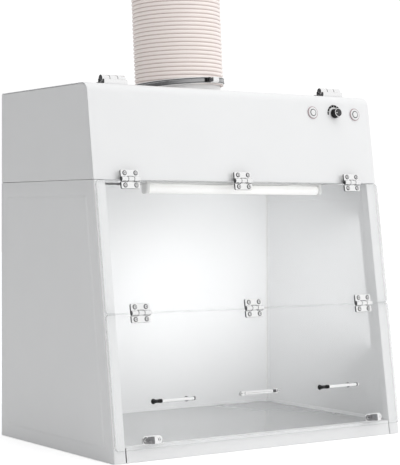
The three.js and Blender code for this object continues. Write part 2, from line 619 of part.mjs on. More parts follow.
for (const [side, x] of Object.entries(HINGE_CENTRES)) {
  const packer = roundedPlate(
    [x - LEAF_WIDTH / 2 + 1, x + LEAF_WIDTH / 2 - 1],
    [SASH_AXIS + LEAF_GAP + 0.5, SASH_AXIS + LEAF_REACH - 0.8],
    [-FURNITURE_BASE + 0.3, -0.3], [2, 2, 2, 2], 3);
  piece(`sash_hinge_${side}_packer`, packer, FINISH.whitePlastic, { parent: front });
  piece(`sash_hinge_${side}_upper_leaf`, pinnedLeaf(1), FINISH.satinChrome, hingeAt(x, SASH_AXIS));
  piece(`sash_hinge_${side}_lower_leaf`, boredLeaf(-1), FINISH.satinChrome, hingeAt(x, SASH_AXIS));
  piece(`fold_hinge_${side}_upper_leaf`, pinnedLeaf(1), FINISH.satinChrome, hingeAt(x, FOLD_AXIS));
  piece(`fold_hinge_${side}_lower_leaf`, boredLeaf(-1), FINISH.satinChrome, hingeAt(x, FOLD_AXIS));
}

// ---- pulls and corner tabs on the lower door ---------------------------------------------
function bowHandle() {
  const half = BOW_PITCH / 2;
  const tip = -FURNITURE_BASE - BOW_REACH;
  const parts = [rod('x', BOW_RADIUS, [-half, half], [tip + BOW_RADIUS, 0], 8)];
  for (const x of [-half, half]) {
    parts.push(rod('y', BOW_RADIUS, [tip + BOW_RADIUS, -FURNITURE_BASE], [x, 0], 8));
    parts.push(rod('y', BOW_RADIUS + 1.3, [-FURNITURE_BASE - 1.6, -FURNITURE_BASE], [x, 0], SMALL_SIDES));
    const elbow = new THREE.SphereGeometry(BOW_RADIUS, 8, 4).rotateX(Math.PI / 2);
    parts.push(solidOf(elbow.translate(x, tip + BOW_RADIUS, 0)));
  }
  return join(...parts);
}
for (const [side, x] of Object.entries(BOW_CENTRES)) {
  piece(`bow_handle_${side}`, bowHandle(), FINISH.satinChrome, { parent: front, at: [x, 0, PULL_HEIGHT] });
}

function barPull() {
  const bar = roundedPlate(
    [-BAR_HALF, BAR_HALF], [-3, 3], [-FURNITURE_BASE - 5.5, -FURNITURE_BASE], [2, 2, 2, 2], 2);
  const feet = roundedPlate(
    [-BAR_SCREW_X - 4, BAR_SCREW_X + 4], [-3.6, 3.6], [-FURNITURE_BASE - 1.2, -FURNITURE_BASE],
    [3, 3, 3, 3], 3);
  const heads = [-BAR_SCREW_X, BAR_SCREW_X].map((x) => (
    rod('y', 3.3, [-FURNITURE_BASE - 3.4, -FURNITURE_BASE - 0.6], [x, 0], 12)));
  return join(bar, feet, ...heads);
}
piece('bar_pull', barPull(), FINISH.satinChrome, { parent: front, at: [BAR_CENTRE, 0, PULL_HEIGHT] });

function cornerTab() {
  const radii = [TAB_RADIUS, TAB_RADIUS, TAB_RADIUS, TAB_RADIUS].map((radius) => radius - 0.05);
  const thick = [-FURNITURE_BASE - 2.4, -FURNITURE_BASE];
  const plate = roundedPlate([-TAB_HALF, TAB_HALF], [-TAB_RADIUS, TAB_RADIUS], thick, radii, 5);
  const tip = -FURNITURE_BASE - 2.4 - TAB_REACH;
  const root = -FURNITURE_BASE - 2;
  const finOutline = [[tip, -6], [root, -6], [root, 2.5], [root - 2, 5], [root - 5, 6], [tip, 6]];
  const fin = alongX(finOutline, [TAB_FIN_X, TAB_FIN_X + 5]);
  const holes = [-13.5, 13.5].map((x) => rod('y', 1.8, [-20, 5], [x, 0], 10));
  return join(cut(plate, ...holes), fin);
}
for (const [side, x] of Object.entries(TAB_CENTRES)) {
  piece(`corner_tab_${side}`, cornerTab(), FINISH.satinChrome, { parent: front, at: [x, 0, TAB_HEIGHT] });
}

export default hood;
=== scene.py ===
"""Looks for a bench-top ducted fume hood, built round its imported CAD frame. Metres, +Z up, door facing -Y."""
import json
import math

import bmesh
import bpy
import numpy as np
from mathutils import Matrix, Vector


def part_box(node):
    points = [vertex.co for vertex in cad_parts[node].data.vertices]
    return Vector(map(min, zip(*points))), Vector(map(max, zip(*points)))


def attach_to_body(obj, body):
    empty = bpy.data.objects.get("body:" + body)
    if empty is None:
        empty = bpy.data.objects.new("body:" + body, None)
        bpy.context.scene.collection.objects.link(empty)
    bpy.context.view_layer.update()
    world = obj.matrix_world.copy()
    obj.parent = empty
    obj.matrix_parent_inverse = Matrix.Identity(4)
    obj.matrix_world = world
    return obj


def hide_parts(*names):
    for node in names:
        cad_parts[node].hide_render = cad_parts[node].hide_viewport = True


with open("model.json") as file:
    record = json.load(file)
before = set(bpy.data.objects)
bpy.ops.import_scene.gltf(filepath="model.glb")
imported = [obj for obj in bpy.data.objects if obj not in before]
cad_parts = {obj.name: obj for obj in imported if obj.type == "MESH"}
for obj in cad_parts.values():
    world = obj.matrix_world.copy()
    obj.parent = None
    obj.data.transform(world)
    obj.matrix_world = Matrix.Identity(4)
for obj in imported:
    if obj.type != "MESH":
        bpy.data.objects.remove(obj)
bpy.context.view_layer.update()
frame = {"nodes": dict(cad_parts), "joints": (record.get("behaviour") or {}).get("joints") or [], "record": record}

# ---- driving values, from the frame ------------------------------------------------------
MM = 0.001
record = frame["record"]
JOINTS = {joint["name"]: joint for joint in frame["joints"]}
BODIES = {node: body for body, nodes in record["behaviour"]["bodies"].items() for node in nodes}
MOUNTS = {mount["name"]: mount for mount in record["mounts"]}

OUTWARD = -np.array(JOINTS["speed_knob_turn"]["axis"])  # away from the sloping front
UPSLOPE = np.array([0.0, OUTWARD[2], -OUTWARD[1]])
FRONT_FOOT = np.array([0.0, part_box("side_panel_left")[0].y, 0.0])
HALF_WIDTH = -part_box("back_panel")[0].x + 2 * MM
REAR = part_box("back_panel")[1].y
SHEET = 1.5 * MM
LEAN_BACK = OUTWARD[2] / -OUTWARD[1]  # how far the front goes back for each metre up


def middle(node):
    """Centre of a CAD node's box."""
    low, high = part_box(node)
    return (np.array(low) + np.array(high)) / 2


def up_out(point):
    """A world point as (distance out of the front, distance up it)."""
    offset = np.array(point) - FRONT_FOOT
    return offset @ OUTWARD, offset @ UPSLOPE


# ---- places: local coordinates to world --------------------------------------------------
def on_front(x=0.0, out=0.0, up=0.0):
    """Local (across, out of the front, up the front), counted from the given point on the front."""
    def place(points):
        points = np.asarray(points, float)
        across = points[..., :1] * np.array([1.0, 0.0, 0.0])
        return (FRONT_FOOT + np.array([x, 0.0, 0.0]) + across
                + (points[..., 1:2] + out) * OUTWARD + (points[..., 2:3] + up) * UPSLOPE)
    return place


def on_axes(origin, across=(1, 0, 0), out=(0, -1, 0), up=(0, 0, 1)):
    """Local (across, out, up) along three world directions, from an origin."""
    basis = np.array([across, out, up], float)
    return lambda points: np.asarray(points, float) @ basis + np.array(origin, float)


# ---- meshes ------------------------------------------------------------------------------
def quads(rows, columns, wrap_columns=True, wrap_rows=False):
    """Quads between neighbouring points of a grid, with either direction closed on itself."""
    index = np.arange(rows * columns).reshape(rows, columns)
    if wrap_columns:
        index = np.hstack([index, index[:, :1]])
    if wrap_rows:
        index = np.vstack([index, index[:1]])
    return np.stack([index[:-1, :-1], index[:-1, 1:], index[1:, 1:], index[1:, :-1]], -1).reshape(-1, 4)


def capped(grid):
    """A shell from a stack of closed rings, with a flat face over its first and its last ring."""
    rows, columns = grid.shape[:2]
    faces = quads(rows, columns).tolist()
    faces.append(list(range(columns)))
    faces.append(list(range((rows - 1) * columns, rows * columns)))
    return grid.reshape(-1, 3), faces


def looped(grid):
    """A shell from a stack of closed rings whose last ring joins the first one, as on a pipe."""
    rows, columns = grid.shape[:2]
    return grid.reshape(-1, 3), quads(rows, columns, wrap_rows=True).tolist()


def build(name, shells, sharp=35):
    """One mesh object from closed shells (points, faces), faces outwards, edges over an angle sharp."""
    points, faces, start = [], [], 0
    for shell_points, shell_faces in shells:
        points.append(shell_points)
        faces += [[corner + start for corner in face] for face in shell_faces]
        start += len(shell_points)
    mesh = bpy.data.meshes.new(name)
    mesh.from_pydata(np.concatenate(points).tolist(), [], faces)
    turned_out = bmesh.new()
    turned_out.from_mesh(mesh)
    bmesh.ops.recalc_face_normals(turned_out, faces=turned_out.faces)
    turned_out.to_mesh(mesh)
    turned_out.free()
    mesh.shade_smooth()
    mesh.set_sharp_from_angle(angle=math.radians(sharp))
    piece = bpy.data.objects.new(name, mesh)
    bpy.context.scene.collection.objects.link(piece)
    return piece


def dress(piece, materials, nodes=(), body=None):
    """Gives a piece its materials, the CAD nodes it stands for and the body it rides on."""
    for material in materials:
        piece.data.materials.append(material)
    if nodes:
        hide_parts(*nodes)
    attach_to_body(piece, body or BODIES[nodes[0]])
    return piece


def attach(piece, material, node):
    """Dresses a piece that rides with a CAD node without standing for it, in the node's slot or another."""
    return dress(piece, [material], body=BODIES[node])


def paint_faces(piece, index, chosen):
    """Gives the faces that a test on face centres picks the material at an index."""
    centres = np.zeros(len(piece.data.polygons) * 3)
    piece.data.polygons.foreach_get("center", centres)
    normals = np.zeros(len(piece.data.polygons) * 3)
    piece.data.polygons.foreach_get("normal", normals)
    picked = chosen(centres.reshape(-1, 3), normals.reshape(-1, 3))
    slots = np.zeros(len(piece.data.polygons), np.int32)
    piece.data.polygons.foreach_get("material_index", slots)
    slots[picked] = index
    piece.data.polygons.foreach_set("material_index", slots)


def smoothstep(low, high, value):
    """0 below low, 1 above high, and a soft S between them."""
    share = np.clip((value - low) / (high - low), 0, 1)
    return share * share * (3 - 2 * share)


def rounded_outline(x, z, radii, inset=0.0, steps=6):
    """A rectangle with four corner arcs (lower left, lower right, upper right, upper left), moved in
    by inset. Each corner is a quarter circle about a centre that stays put as the inset grows."""
    corners = [(0, 0, 180), (1, 0, 270), (1, 1, 0), (0, 1, 90)]
    points = []
    for (right, top, start), radius in zip(corners, radii):
        centre_x = x[right] + (-radius if right else radius)
        centre_z = z[top] + (-radius if top else radius)
        turn = np.radians(start + np.linspace(0, 90, steps + 1))
        left = max(radius - inset, 0.02 * MM)
        shift = max(inset - radius, 0.0)
        points.append(np.stack([
            centre_x + (-shift if right else shift) + left * np.cos(turn),
            centre_z + (-shift if top else shift) + left * np.sin(turn)], -1))
    return np.concatenate(points)


def slab(x, z, radii, thick, fillet, place, steps=6, back_fillet=None, crown=0.0):
    """A plate with a rounded outline and a rolled edge: rings of the outline step in and out along a
    quarter circle of the fillet's radius, then cross the face, which may rise by a small crown."""
    back = fillet if back_fillet is None else back_fillet
    turn = np.radians(np.linspace(0, 90, 5))
    low, high = thick
    section = [(back + 0.3 * MM, low)]
    section += [(back * (1 - math.sin(angle)), low + back * (1 - math.cos(angle))) for angle in turn]
    section += [(fillet * (1 - math.cos(angle)), high - fillet * (1 - math.sin(angle))) for angle in turn]
    section += [(fillet + 0.4 * MM, high + 0.4 * crown), (fillet + 1.2 * MM, high + crown)]
    rings = []
    for inset, out in section:
        outline = rounded_outline(x, z, radii, inset, steps)
        rings.append(np.stack([outline[:, 0], np.full(len(outline), out), outline[:, 1]], -1))
    return capped(place(np.array(rings)))


def turned(profile, place, sides=48, axis="out", ribs=None, loop=False):
    """A profile of (radius, height) pairs turned about an axis. ribs adds to each radius round the turn."""
    profile = np.array(profile, float)
    turn = np.linspace(0, 2 * np.pi, sides, endpoint=False)
    radius = profile[:, :1] * np.ones(sides)
    if ribs is not None:
        radius = radius + ribs(turn)
    height = profile[:, 1:] * np.ones(sides)
    first, second = radius * np.cos(turn), radius * np.sin(turn)
    order = {"out": (first, height, second), "across": (height, first, second), "up": (first, second, height)}
    grid = place(np.stack(order[axis], -1))
    return looped(grid) if loop else capped(grid)


def softened(node, radius, materials, sharp=40):
    """A copy of a CAD solid with its doubles merged, its flat neighbours joined and every edge rounded."""
    piece = bpy.data.objects.new(f"{node}_shell", frame["nodes"][node].data.copy())
    bpy.context.scene.collection.objects.link(piece)
    solid = bmesh.new()
    solid.from_mesh(piece.data)
    bmesh.ops.remove_doubles(solid, verts=solid.verts, dist=0.002 * MM)
    bmesh.ops.dissolve_limit(solid, angle_limit=math.radians(0.5), verts=solid.verts, edges=solid.edges)
    bmesh.ops.recalc_face_normals(solid, faces=solid.faces)
    solid.to_mesh(piece.data)
    solid.free()
    piece.data.materials.clear()
    piece.data.shade_smooth()
    piece.data.set_sharp_from_angle(angle=math.radians(sharp))
    bevel = piece.modifiers.new("rounded edges", "BEVEL")
    bevel.width = radius
    bevel.segments = 2
    bevel.limit_method = "ANGLE"
    bevel.angle_limit = math.radians(sharp)
    bevel.harden_normals = True
    return dress(piece, materials, [node])


# ---- shader groups -----------------------------------------------------------------------
def shader_group(name, inputs, outputs):
    """A node group with named float or vector inputs and outputs. Returns it with its two end nodes."""
    group = bpy.data.node_groups.new(name, "ShaderNodeTree")
    kinds = {"value": "NodeSocketFloat", "vector": "NodeSocketVector", "colour": "NodeSocketColor"}
    for label, kind in inputs.items():
        group.interface.new_socket(label, in_out="INPUT", socket_type=kinds[kind])
    for label, kind in outputs.items():
        group.interface.new_socket(label, in_out="OUTPUT", socket_type=kinds[kind])
    return group, group.nodes.new("NodeGroupInput"), group.nodes.new("NodeGroupOutput")


def math_node(tree, operation, first, second=None):
    """A Math node fed by sockets or plain numbers."""
    node = tree.nodes.new("ShaderNodeMath")
    node.operation = operation
    for socket, value in zip(node.inputs, (first, second)):
        if isinstance(value, (int, float)):
            socket.default_value = value
        elif value is not None:
            tree.links.new(value, socket)
    return node.outputs[0]


def noise_node(tree, vector, scale, detail=2.0, roughness=0.5):
    """A noise texture on a vector, its scale a socket or a number. Returns its value from 0 to 1."""
    node = tree.nodes.new("ShaderNodeTexNoise")
    tree.links.new(vector, node.inputs["Vector"])
    node.inputs["Detail"].default_value = detail
    node.inputs["Roughness"].default_value = roughness
    if isinstance(scale, (int, float)):
        node.inputs["Scale"].default_value = scale
    else:
        tree.links.new(scale, node.inputs["Scale"])
    return node.outputs["Fac"]


def range_node(tree, value, low, high, to_low=0.0, to_high=1.0):
    """Maps a value from one range to another, clamped."""
    node = tree.nodes.new("ShaderNodeMapRange")
    tree.links.new(value, node.inputs["Value"])
    for label, number in (("From Min", low), ("From Max", high), ("To Min", to_low), ("To Max", to_high)):
        node.inputs[label].default_value = number
    return node.outputs["Result"]


def make_grain_group():
    """Fine grain: a close noise for the height, and slow patches half its own noise, half a wider one."""
    group, given, put = shader_group(
        "surface grain", {"Vector": "vector", "Grains per metre": "value"},
        {"Height": "value", "Patches": "value"})
    fine = noise_node(group, given.outputs["Vector"], given.outputs["Grains per metre"], detail=3.0)
    group.links.new(fine, put.inputs["Height"])
    slow = noise_node(group, given.outputs["Vector"], 14.0, detail=2.0)
    wide = noise_node(group, given.outputs["Vector"], 5.0, detail=1.0)
    both = math_node(group, "MULTIPLY", math_node(group, "ADD", slow, wide), 0.5)
    group.links.new(range_node(group, both, 0.35, 0.65), put.inputs["Patches"])
    return group


def make_brush_group():
    """Brushed lines: a noise on a vector that is stretched along one direction, so that it draws streaks."""
    group, given, put = shader_group(
        "brushed lines", {"Vector": "vector", "Stretch": "vector", "Lines per metre": "value"},
        {"Height": "value", "Streaks": "value"})
    product = group.nodes.new("ShaderNodeVectorMath")
    product.operation = "MULTIPLY"
    group.links.new(given.outputs["Vector"], product.inputs[0])
    group.links.new(given.outputs["Stretch"], product.inputs[1])
    lines = noise_node(group, product.outputs[0], given.outputs["Lines per metre"], detail=4.0, roughness=0.7)
    group.links.new(lines, put.inputs["Height"])
    group.links.new(range_node(group, lines, 0.3, 0.7), put.inputs["Streaks"])
    return group


def make_marks_group():
    """Handling marks: two crossed stretched noises, of which only the highest parts show, as faint wipes."""
    group, given, put = shader_group(
        "handling marks", {"Vector": "vector", "Amount": "value"}, {"Marks": "value"})
    total = None
    for stretch in ((30.0, 8.0, 60.0), (70.0, 20.0, 12.0)):
        scaled = group.nodes.new("ShaderNodeVectorMath")
        scaled.operation = "MULTIPLY"
        scaled.inputs[1].default_value = stretch
        group.links.new(given.outputs["Vector"], scaled.inputs[0])
        wipe = range_node(group, noise_node(group, scaled.outputs[0], 1.0, detail=3.0), 0.58, 0.75)
        total = wipe if total is None else math_node(group, "MAXIMUM", total, wipe)
    group.links.new(math_node(group, "MULTIPLY", total, given.outputs["Amount"]), put.inputs["Marks"])
    return group


GRAIN = make_grain_group()
BRUSH = make_brush_group()
MARKS = make_marks_group()


def new_material(name):
    """A material with its Principled shader and Object coordinates. Returns the three."""
    material = bpy.data.materials.new(name)
    material.use_nodes = True
    tree = material.node_tree
    coordinates = tree.nodes.new("ShaderNodeTexCoord").outputs["Object"]
    return material, tree, tree.nodes["Principled BSDF"], coordinates


def put_group(tree, group, vector, **values):
    """Places a node group, fed by the coordinates and plain numbers."""
    node = tree.nodes.new("ShaderNodeGroup")
    node.node_tree = group
    tree.links.new(vector, node.inputs["Vector"])
    for label, value in values.items():
        node.inputs[label.replace("_", " ")].default_value = value
    return node.outputs


def tint(tree, share, first, second):
    """A colour that goes from first to second as share goes from 0 to 1."""
    node = tree.nodes.new("ShaderNodeMix")
    node.data_type = "RGBA"
    tree.links.new(share, node.inputs["Factor"])
    node.inputs["A"].default_value = (*first, 1.0)
    node.inputs["B"].default_value = (*second, 1.0)
    return node.outputs["Result"]


def bump(tree, shader, height, strength, distance):
    """Turns a height into the shader's normal."""
    node = tree.nodes.new("ShaderNodeBump")
    node.inputs["Strength"].default_value = strength
    node.inputs["Distance"].default_value = distance
    tree.links.new(height, node.inputs["Height"])
    tree.links.new(node.outputs["Normal"], shader.inputs["Normal"])


def grained(name, colour, second, roughness, grains=900.0, depth=0.004 * MM, marks=0.06, coat=0.0,
            metallic=0.0, gloss=0.5):
    """A moulded or coated surface: grain in its normal, slow patches between two close colours, and
    handling marks that raise its roughness."""
    material, tree, shader, coordinates = new_material(name)
    grain = put_group(tree, GRAIN, coordinates, Grains_per_metre=grains)
    tree.links.new(tint(tree, grain["Patches"], colour, second), shader.inputs["Base Color"])
    wiped = put_group(tree, MARKS, coordinates, Amount=marks)["Marks"]
    rough = math_node(tree, "ADD", wiped, roughness)
    tree.links.new(rough, shader.inputs["Roughness"])
    shader.inputs["Coat Weight"].default_value = coat
    shader.inputs["Coat Roughness"].default_value = 0.12
    shader.inputs["Metallic"].default_value = metallic
    shader.inputs["Specular IOR Level"].default_value = gloss
    bump(tree, shader, grain["Height"], 0.5, depth)
    return material


def brushed(name, colour, second, roughness, stretch, lines=1500.0, spread=0.12, depth=0.002 * MM):
    """A metal whose colour, roughness and normal follow brushed streaks."""
    material, tree, shader, coordinates = new_material(name)
    streaks = put_group(tree, BRUSH, coordinates, Stretch=stretch, Lines_per_metre=lines)
    tree.links.new(tint(tree, streaks["Streaks"], colour, second), shader.inputs["Base Color"])
    rough = range_node(tree, streaks["Streaks"], 0.0, 1.0, roughness, roughness + spread)
    tree.links.new(rough, shader.inputs["Roughness"])
    shader.inputs["Metallic"].default_value = 1.0
    bump(tree, shader, streaks["Height"], 0.4, depth)
    return material


def clear_sheet(name, colour, alpha, roughness):
    """A clear polished sheet: a plain alpha, with wipes only in its roughness."""
    material, tree, shader, coordinates = new_material(name)
    shader.inputs["Base Color"].default_value = (*colour, 1.0)
    shader.inputs["Alpha"].default_value = alpha
    shader.inputs["IOR"].default_value = 1.49
    wiped = put_group(tree, MARKS, coordinates, Amount=0.12)["Marks"]
    tree.links.new(math_node(tree, "ADD", wiped, roughness), shader.inputs["Roughness"])
    return material


def ribbed_film(name):
    """Hose film: pale between the turns of the wire and brown along each turn's groove, by the piece's own rib
    attribute; the brown is partly the wire seen through the film and partly painted shade in the groove.
    """
    material, tree, shader, coordinates = new_material(name)
    rib = tree.nodes.new("ShaderNodeAttribute")
    rib.attribute_name = "rib"
    grain = put_group(tree, GRAIN, coordinates, Grains_per_metre=260.0)
    film = tint(tree, grain["Patches"], (0.89, 0.815, 0.785), (0.87, 0.80, 0.765))
    mix = tree.nodes.new("ShaderNodeMix")
    mix.data_type = "RGBA"
    tree.links.new(rib.outputs["Fac"], mix.inputs["Factor"])
    tree.links.new(film, mix.inputs["A"])
    # The brown line: partly the wire through the film, partly painted shade in the groove.
    mix.inputs["B"].default_value = (0.42, 0.33, 0.31, 1.0)
    tree.links.new(mix.outputs["Result"], shader.inputs["Base Color"])
    tree.links.new(range_node(tree, rib.outputs["Fac"], 0.0, 1.0, 0.32, 0.5), shader.inputs["Roughness"])
    shader.inputs["Alpha"].default_value = 0.94
    shader.inputs["Emission Color"].default_value = (1.0, 0.94, 0.91, 1.0)
    shader.inputs["Emission Strength"].default_value = 0.10  # daylight that comes through the thin film
    bump(tree, shader, grain["Height"], 0.4, 0.25 * MM)
    return material


POWDER = grained("white powder coat", (0.83, 0.835, 0.84), (0.815, 0.82, 0.825), 0.34, 1400.0, 0.004 * MM)
LINER = grained("white liner board", (0.85, 0.855, 0.86), (0.835, 0.84, 0.845), 0.5, 1600.0, 0.003 * MM)
# The tray's floor is a grey darker than the chamber's white walls.
TRAY = grained("grey tray floor", (0.36, 0.365, 0.37), (0.34, 0.345, 0.35), 0.14, 700.0, 0.002 * MM,
               marks=0.015, coat=0.6)
WHITE_PLASTIC = grained("white plastic", (0.82, 0.82, 0.81), (0.80, 0.80, 0.79), 0.35, 1800.0, 0.004 * MM)
BLACK_PLASTIC = grained("black plastic", (0.012, 0.012, 0.013), (0.02, 0.02, 0.021), 0.38, 2600.0,
                        0.01 * MM, gloss=0.14)
KNOB_FACE = grained("knob face", (0.05, 0.05, 0.052), (0.065, 0.065, 0.067), 0.3, 2600.0, 0.008 * MM,
                    gloss=0.25)
RUBBER = grained("rose grey rubber", (0.46, 0.35, 0.37), (0.42, 0.32, 0.34), 0.6, 3000.0, 0.01 * MM)
INK = grained("printed ink", (0.012, 0.012, 0.012), (0.018, 0.018, 0.018), 0.5, 4000.0, 0.004 * MM, gloss=0.1)
CHROME = brushed("satin chrome", (0.95, 0.95, 0.95), (0.88, 0.88, 0.885), 0.10, (1.0, 6.0, 6.0))
# Dark metal for painted shade: the pieces that take it are painted dark for shade and dark reflections on metal
# parts.
PAINTED_SHADE_METAL = brushed("dark metal for painted shade", (0.15, 0.15, 0.155), (0.09, 0.09, 0.095), 0.35, (3.0, 1.0, 1.0))
# Steel darker than bare steel: painted dark reflection on the clamp band and painted shade on the corner tabs'
# fins.
PAINTED_SHADE_STEEL = brushed("polished steel darkened as painted shade and reflection", (0.42, 0.42, 0.425), (0.34, 0.34, 0.345), 0.10, (0.6, 0.6, 9.0), 2200.0)
SWITCH_METAL = grained("satin switch metal", (0.86, 0.86, 0.86), (0.82, 0.82, 0.825), 0.3, 3000.0, 0.003 * MM,
                       metallic=0.35)
GALVANISED = brushed("galvanised casing", (0.62, 0.64, 0.66), (0.5, 0.52, 0.54), 0.4, (1.0, 1.0, 1.0), 120.0)
ACRYLIC = clear_sheet("clear acrylic", (0.93, 0.95, 0.95), 0.045, 0.03)
ACRYLIC_EDGE_PAINTED_SHADE = clear_sheet("sawn acrylic edge with painted shade", (0.55, 0.57, 0.57), 0.42, 0.25)
HOSE_FILM = ribbed_film("hose film")


def lamp_material():
    """A frosted diffuser that glows a little, with a faint mottle."""
    material, tree, shader, coordinates = new_material("lamp diffuser")
    grain = put_group(tree, GRAIN, coordinates, Grains_per_metre=600.0)
    mottle = tint(tree, grain["Patches"], (0.9, 0.9, 0.89), (0.86, 0.86, 0.85))
    tree.links.new(mottle, shader.inputs["Base Color"])
    shader.inputs["Roughness"].default_value = 0.4
    shader.inputs["Emission Color"].default_value = (1.0, 0.99, 0.97, 1.0)
    shader.inputs["Emission Strength"].default_value = 0.3
    return material


LAMP = lamp_material()

# ---- camera and studio -------------------------------------------------------------------
IMAGE_HEIGHT = 465
FOCAL_PIXELS = 1475.67
HORIZON_OFFSET = 17.47  # how far the level line of sight lies above the middle of the image
SENSOR = 36.0


def make_camera():
    """A level camera with a long lens, turned to the left of the hood's own forward direction."""
    data = bpy.data.cameras.new("camera")
    camera = bpy.data.objects.new("camera", data)
    camera.location = (-1.5086, -2.1787, 0.393)
    camera.rotation_euler = (math.radians(90), 0, math.radians(-34.65))
    data.sensor_width = SENSOR
    data.lens = SENSOR * FOCAL_PIXELS / IMAGE_HEIGHT
    data.shift_y = -HORIZON_OFFSET / IMAGE_HEIGHT
    data.clip_end = 30
    bpy.context.scene.collection.objects.link(camera)
    bpy.context.scene.camera = camera


def make_world():
    """Soft light from all round, as a direction's share along a slanting axis goes from dim to bright."""
    world = bpy.data.worlds.new("studio")
    bpy.context.scene.world = world
    world.use_nodes = True
    tree = world.node_tree
    direction = tree.nodes.new("ShaderNodeTexCoord").outputs["Generated"]
    along = tree.nodes.new("ShaderNodeVectorMath")
    along.operation = "DOT_PRODUCT"
    along.inputs[1].default_value = Vector((0.80, -0.42, 0.60)).normalized()
    tree.links.new(direction, along.inputs[0])
    share = tree.nodes.new("ShaderNodeMapRange")
    share.interpolation_type = "SMOOTHSTEP"
    share.inputs["From Min"].default_value = -0.75
    share.inputs["From Max"].default_value = 0.65
    tree.links.new(along.outputs["Value"], share.inputs["Value"])
    light = tint(tree, share.outputs["Result"], (0.235, 0.237, 0.24), (0.98, 0.98, 0.98))
    lighting = tree.nodes["Background"]
    tree.links.new(light, lighting.inputs["Color"])
    backdrop = tree.nodes.new("ShaderNodeBackground")
    backdrop.inputs["Color"].default_value = (1, 1, 1, 1)
    backdrop.inputs["Strength"].default_value = 1.05
    seen = tree.nodes.new("ShaderNodeLightPath")
    either = tree.nodes.new("ShaderNodeMixShader")
    tree.links.new(seen.outputs["Is Camera Ray"], either.inputs["Fac"])
    tree.links.new(lighting.outputs["Background"], either.inputs[1])
    tree.links.new(backdrop.outputs["Background"], either.inputs[2])
    tree.links.new(either.outputs["Shader"], tree.nodes["World Output"].inputs["Surface"])


def soft_light(name, place, target, size, power, spread=180):
    """A rectangular area light at a place, facing a target, lighting things without being seen itself."""
    data = bpy.data.lights.new(name, "AREA")
    data.shape = "RECTANGLE"
    data.size, data.size_y = size
    data.energy = power
    data.spread = math.radians(spread)
    light = bpy.data.objects.new(name, data)
    light.visible_camera = False
    light.visible_glossy = False
    light.location = place
    light.rotation_euler = (Vector(target) - Vector(place)).to_track_quat("-Z", "Y").to_euler()
    bpy.context.scene.collection.objects.link(light)


FLOOR_GLOW = 0.42  # lifts the floor to white for the camera, without lighting the hood


def make_floor():
    """A wide pale floor under the hood."""
    half = 12.0
    mesh = bpy.data.meshes.new("studio_floor")
    corners = [(-half, -half, 0), (half, -half, 0), (half, half, 0), (-half, half, 0)]
    mesh.from_pydata(corners, [], [(0, 1, 2, 3)])
    floor = bpy.data.objects.new("studio_floor", mesh)
    bpy.context.scene.collection.objects.link(floor)
    floor.location.z = -0.4 * MM
    pale = grained("pale floor", (0.93, 0.93, 0.93), (0.92, 0.92, 0.92), 0.8, 200.0, 0.004 * MM)
    tree = pale.node_tree
    glow = tree.nodes["Principled BSDF"]
    glow.inputs["Emission Color"].default_value = (1, 1, 1, 1)
    seen = tree.nodes.new("ShaderNodeLightPath")
    strength = range_node(tree, seen.outputs["Is Camera Ray"], 0.0, 1.0, 0.0, FLOOR_GLOW)
    tree.links.new(strength, glow.inputs["Emission Strength"])
    floor.data.materials.append(pale)


make_camera()
make_world()
make_floor()
soft_light("front soft light", (1.8, -2.4, 1.5), (0, 0, 0.35), (1.6, 1.6), 12)
soft_light("overhead soft light", (0.2, -0.5, 2.4), (0, 0, 0.6), (1.8, 1.8), 9)
chamber_light = on_front(0.08, -0.03, 0.28)(np.zeros(3))
soft_light("light through the door", chamber_light, chamber_light - 0.3 * OUTWARD, (0.40, 0.24), 0.42, 130)
bpy.context.scene.view_settings.view_transform = "Standard"
bpy.context.scene.view_settings.look = "None"

# ---- cabinet: folded side panels ---------------------------------------------------------
JAMB_WIDTH = 22 * MM
JAMB_RETURN = 18 * MM
FOLD_RADIUS = 2.2 * MM
RETURN_RADIUS = 1.6 * MM
FIELD_RISE = 1.5 * MM
FIELD_STEP = 3.2 * MM
FIELD_LOW = 22 * MM
FIELD_HIGH = 424.5 * MM
FIELD_FRONT = 26 * MM
FIELD_REAR = 172 * MM


def arc(centre, radius, start, end, steps):
    """Points on an arc, by angle in degrees."""
    turn = np.radians(np.linspace(start, end, steps))
    return np.stack([centre[0] + radius * np.cos(turn), centre[1] + radius * np.sin(turn)], -1)


def dense(low, high, marks, spread, coarse, fine=7):
    """Sorted values from low to high: an even coarse row, and a fine cluster round each mark."""
    parts = [np.linspace(low, high, coarse)]
    parts += [np.linspace(mark - spread, mark + spread, fine) for mark in marks]
    values = np.unique(np.round(np.concatenate(parts), 6))
    return values[(values >= low) & (values <= high)]


def folded_section():
    """The fold of a side panel in plan, as (x, distance behind the front): the return, its bend, the
    jamb and the outer bend, which are two quarter circles joined by straight runs."""
    inner = HALF_WIDTH - JAMB_WIDTH
    run = np.stack([np.full(4, inner), np.linspace(JAMB_RETURN, RETURN_RADIUS + 0.1 * MM, 4)], -1)
    inner_bend = arc((inner + RETURN_RADIUS, RETURN_RADIUS), RETURN_RADIUS, 180, 270, 6)
    outer_bend = arc((HALF_WIDTH - FOLD_RADIUS, FOLD_RADIUS), FOLD_RADIUS, -90, 0, 7)
    return np.concatenate([run, inner_bend, outer_bend])


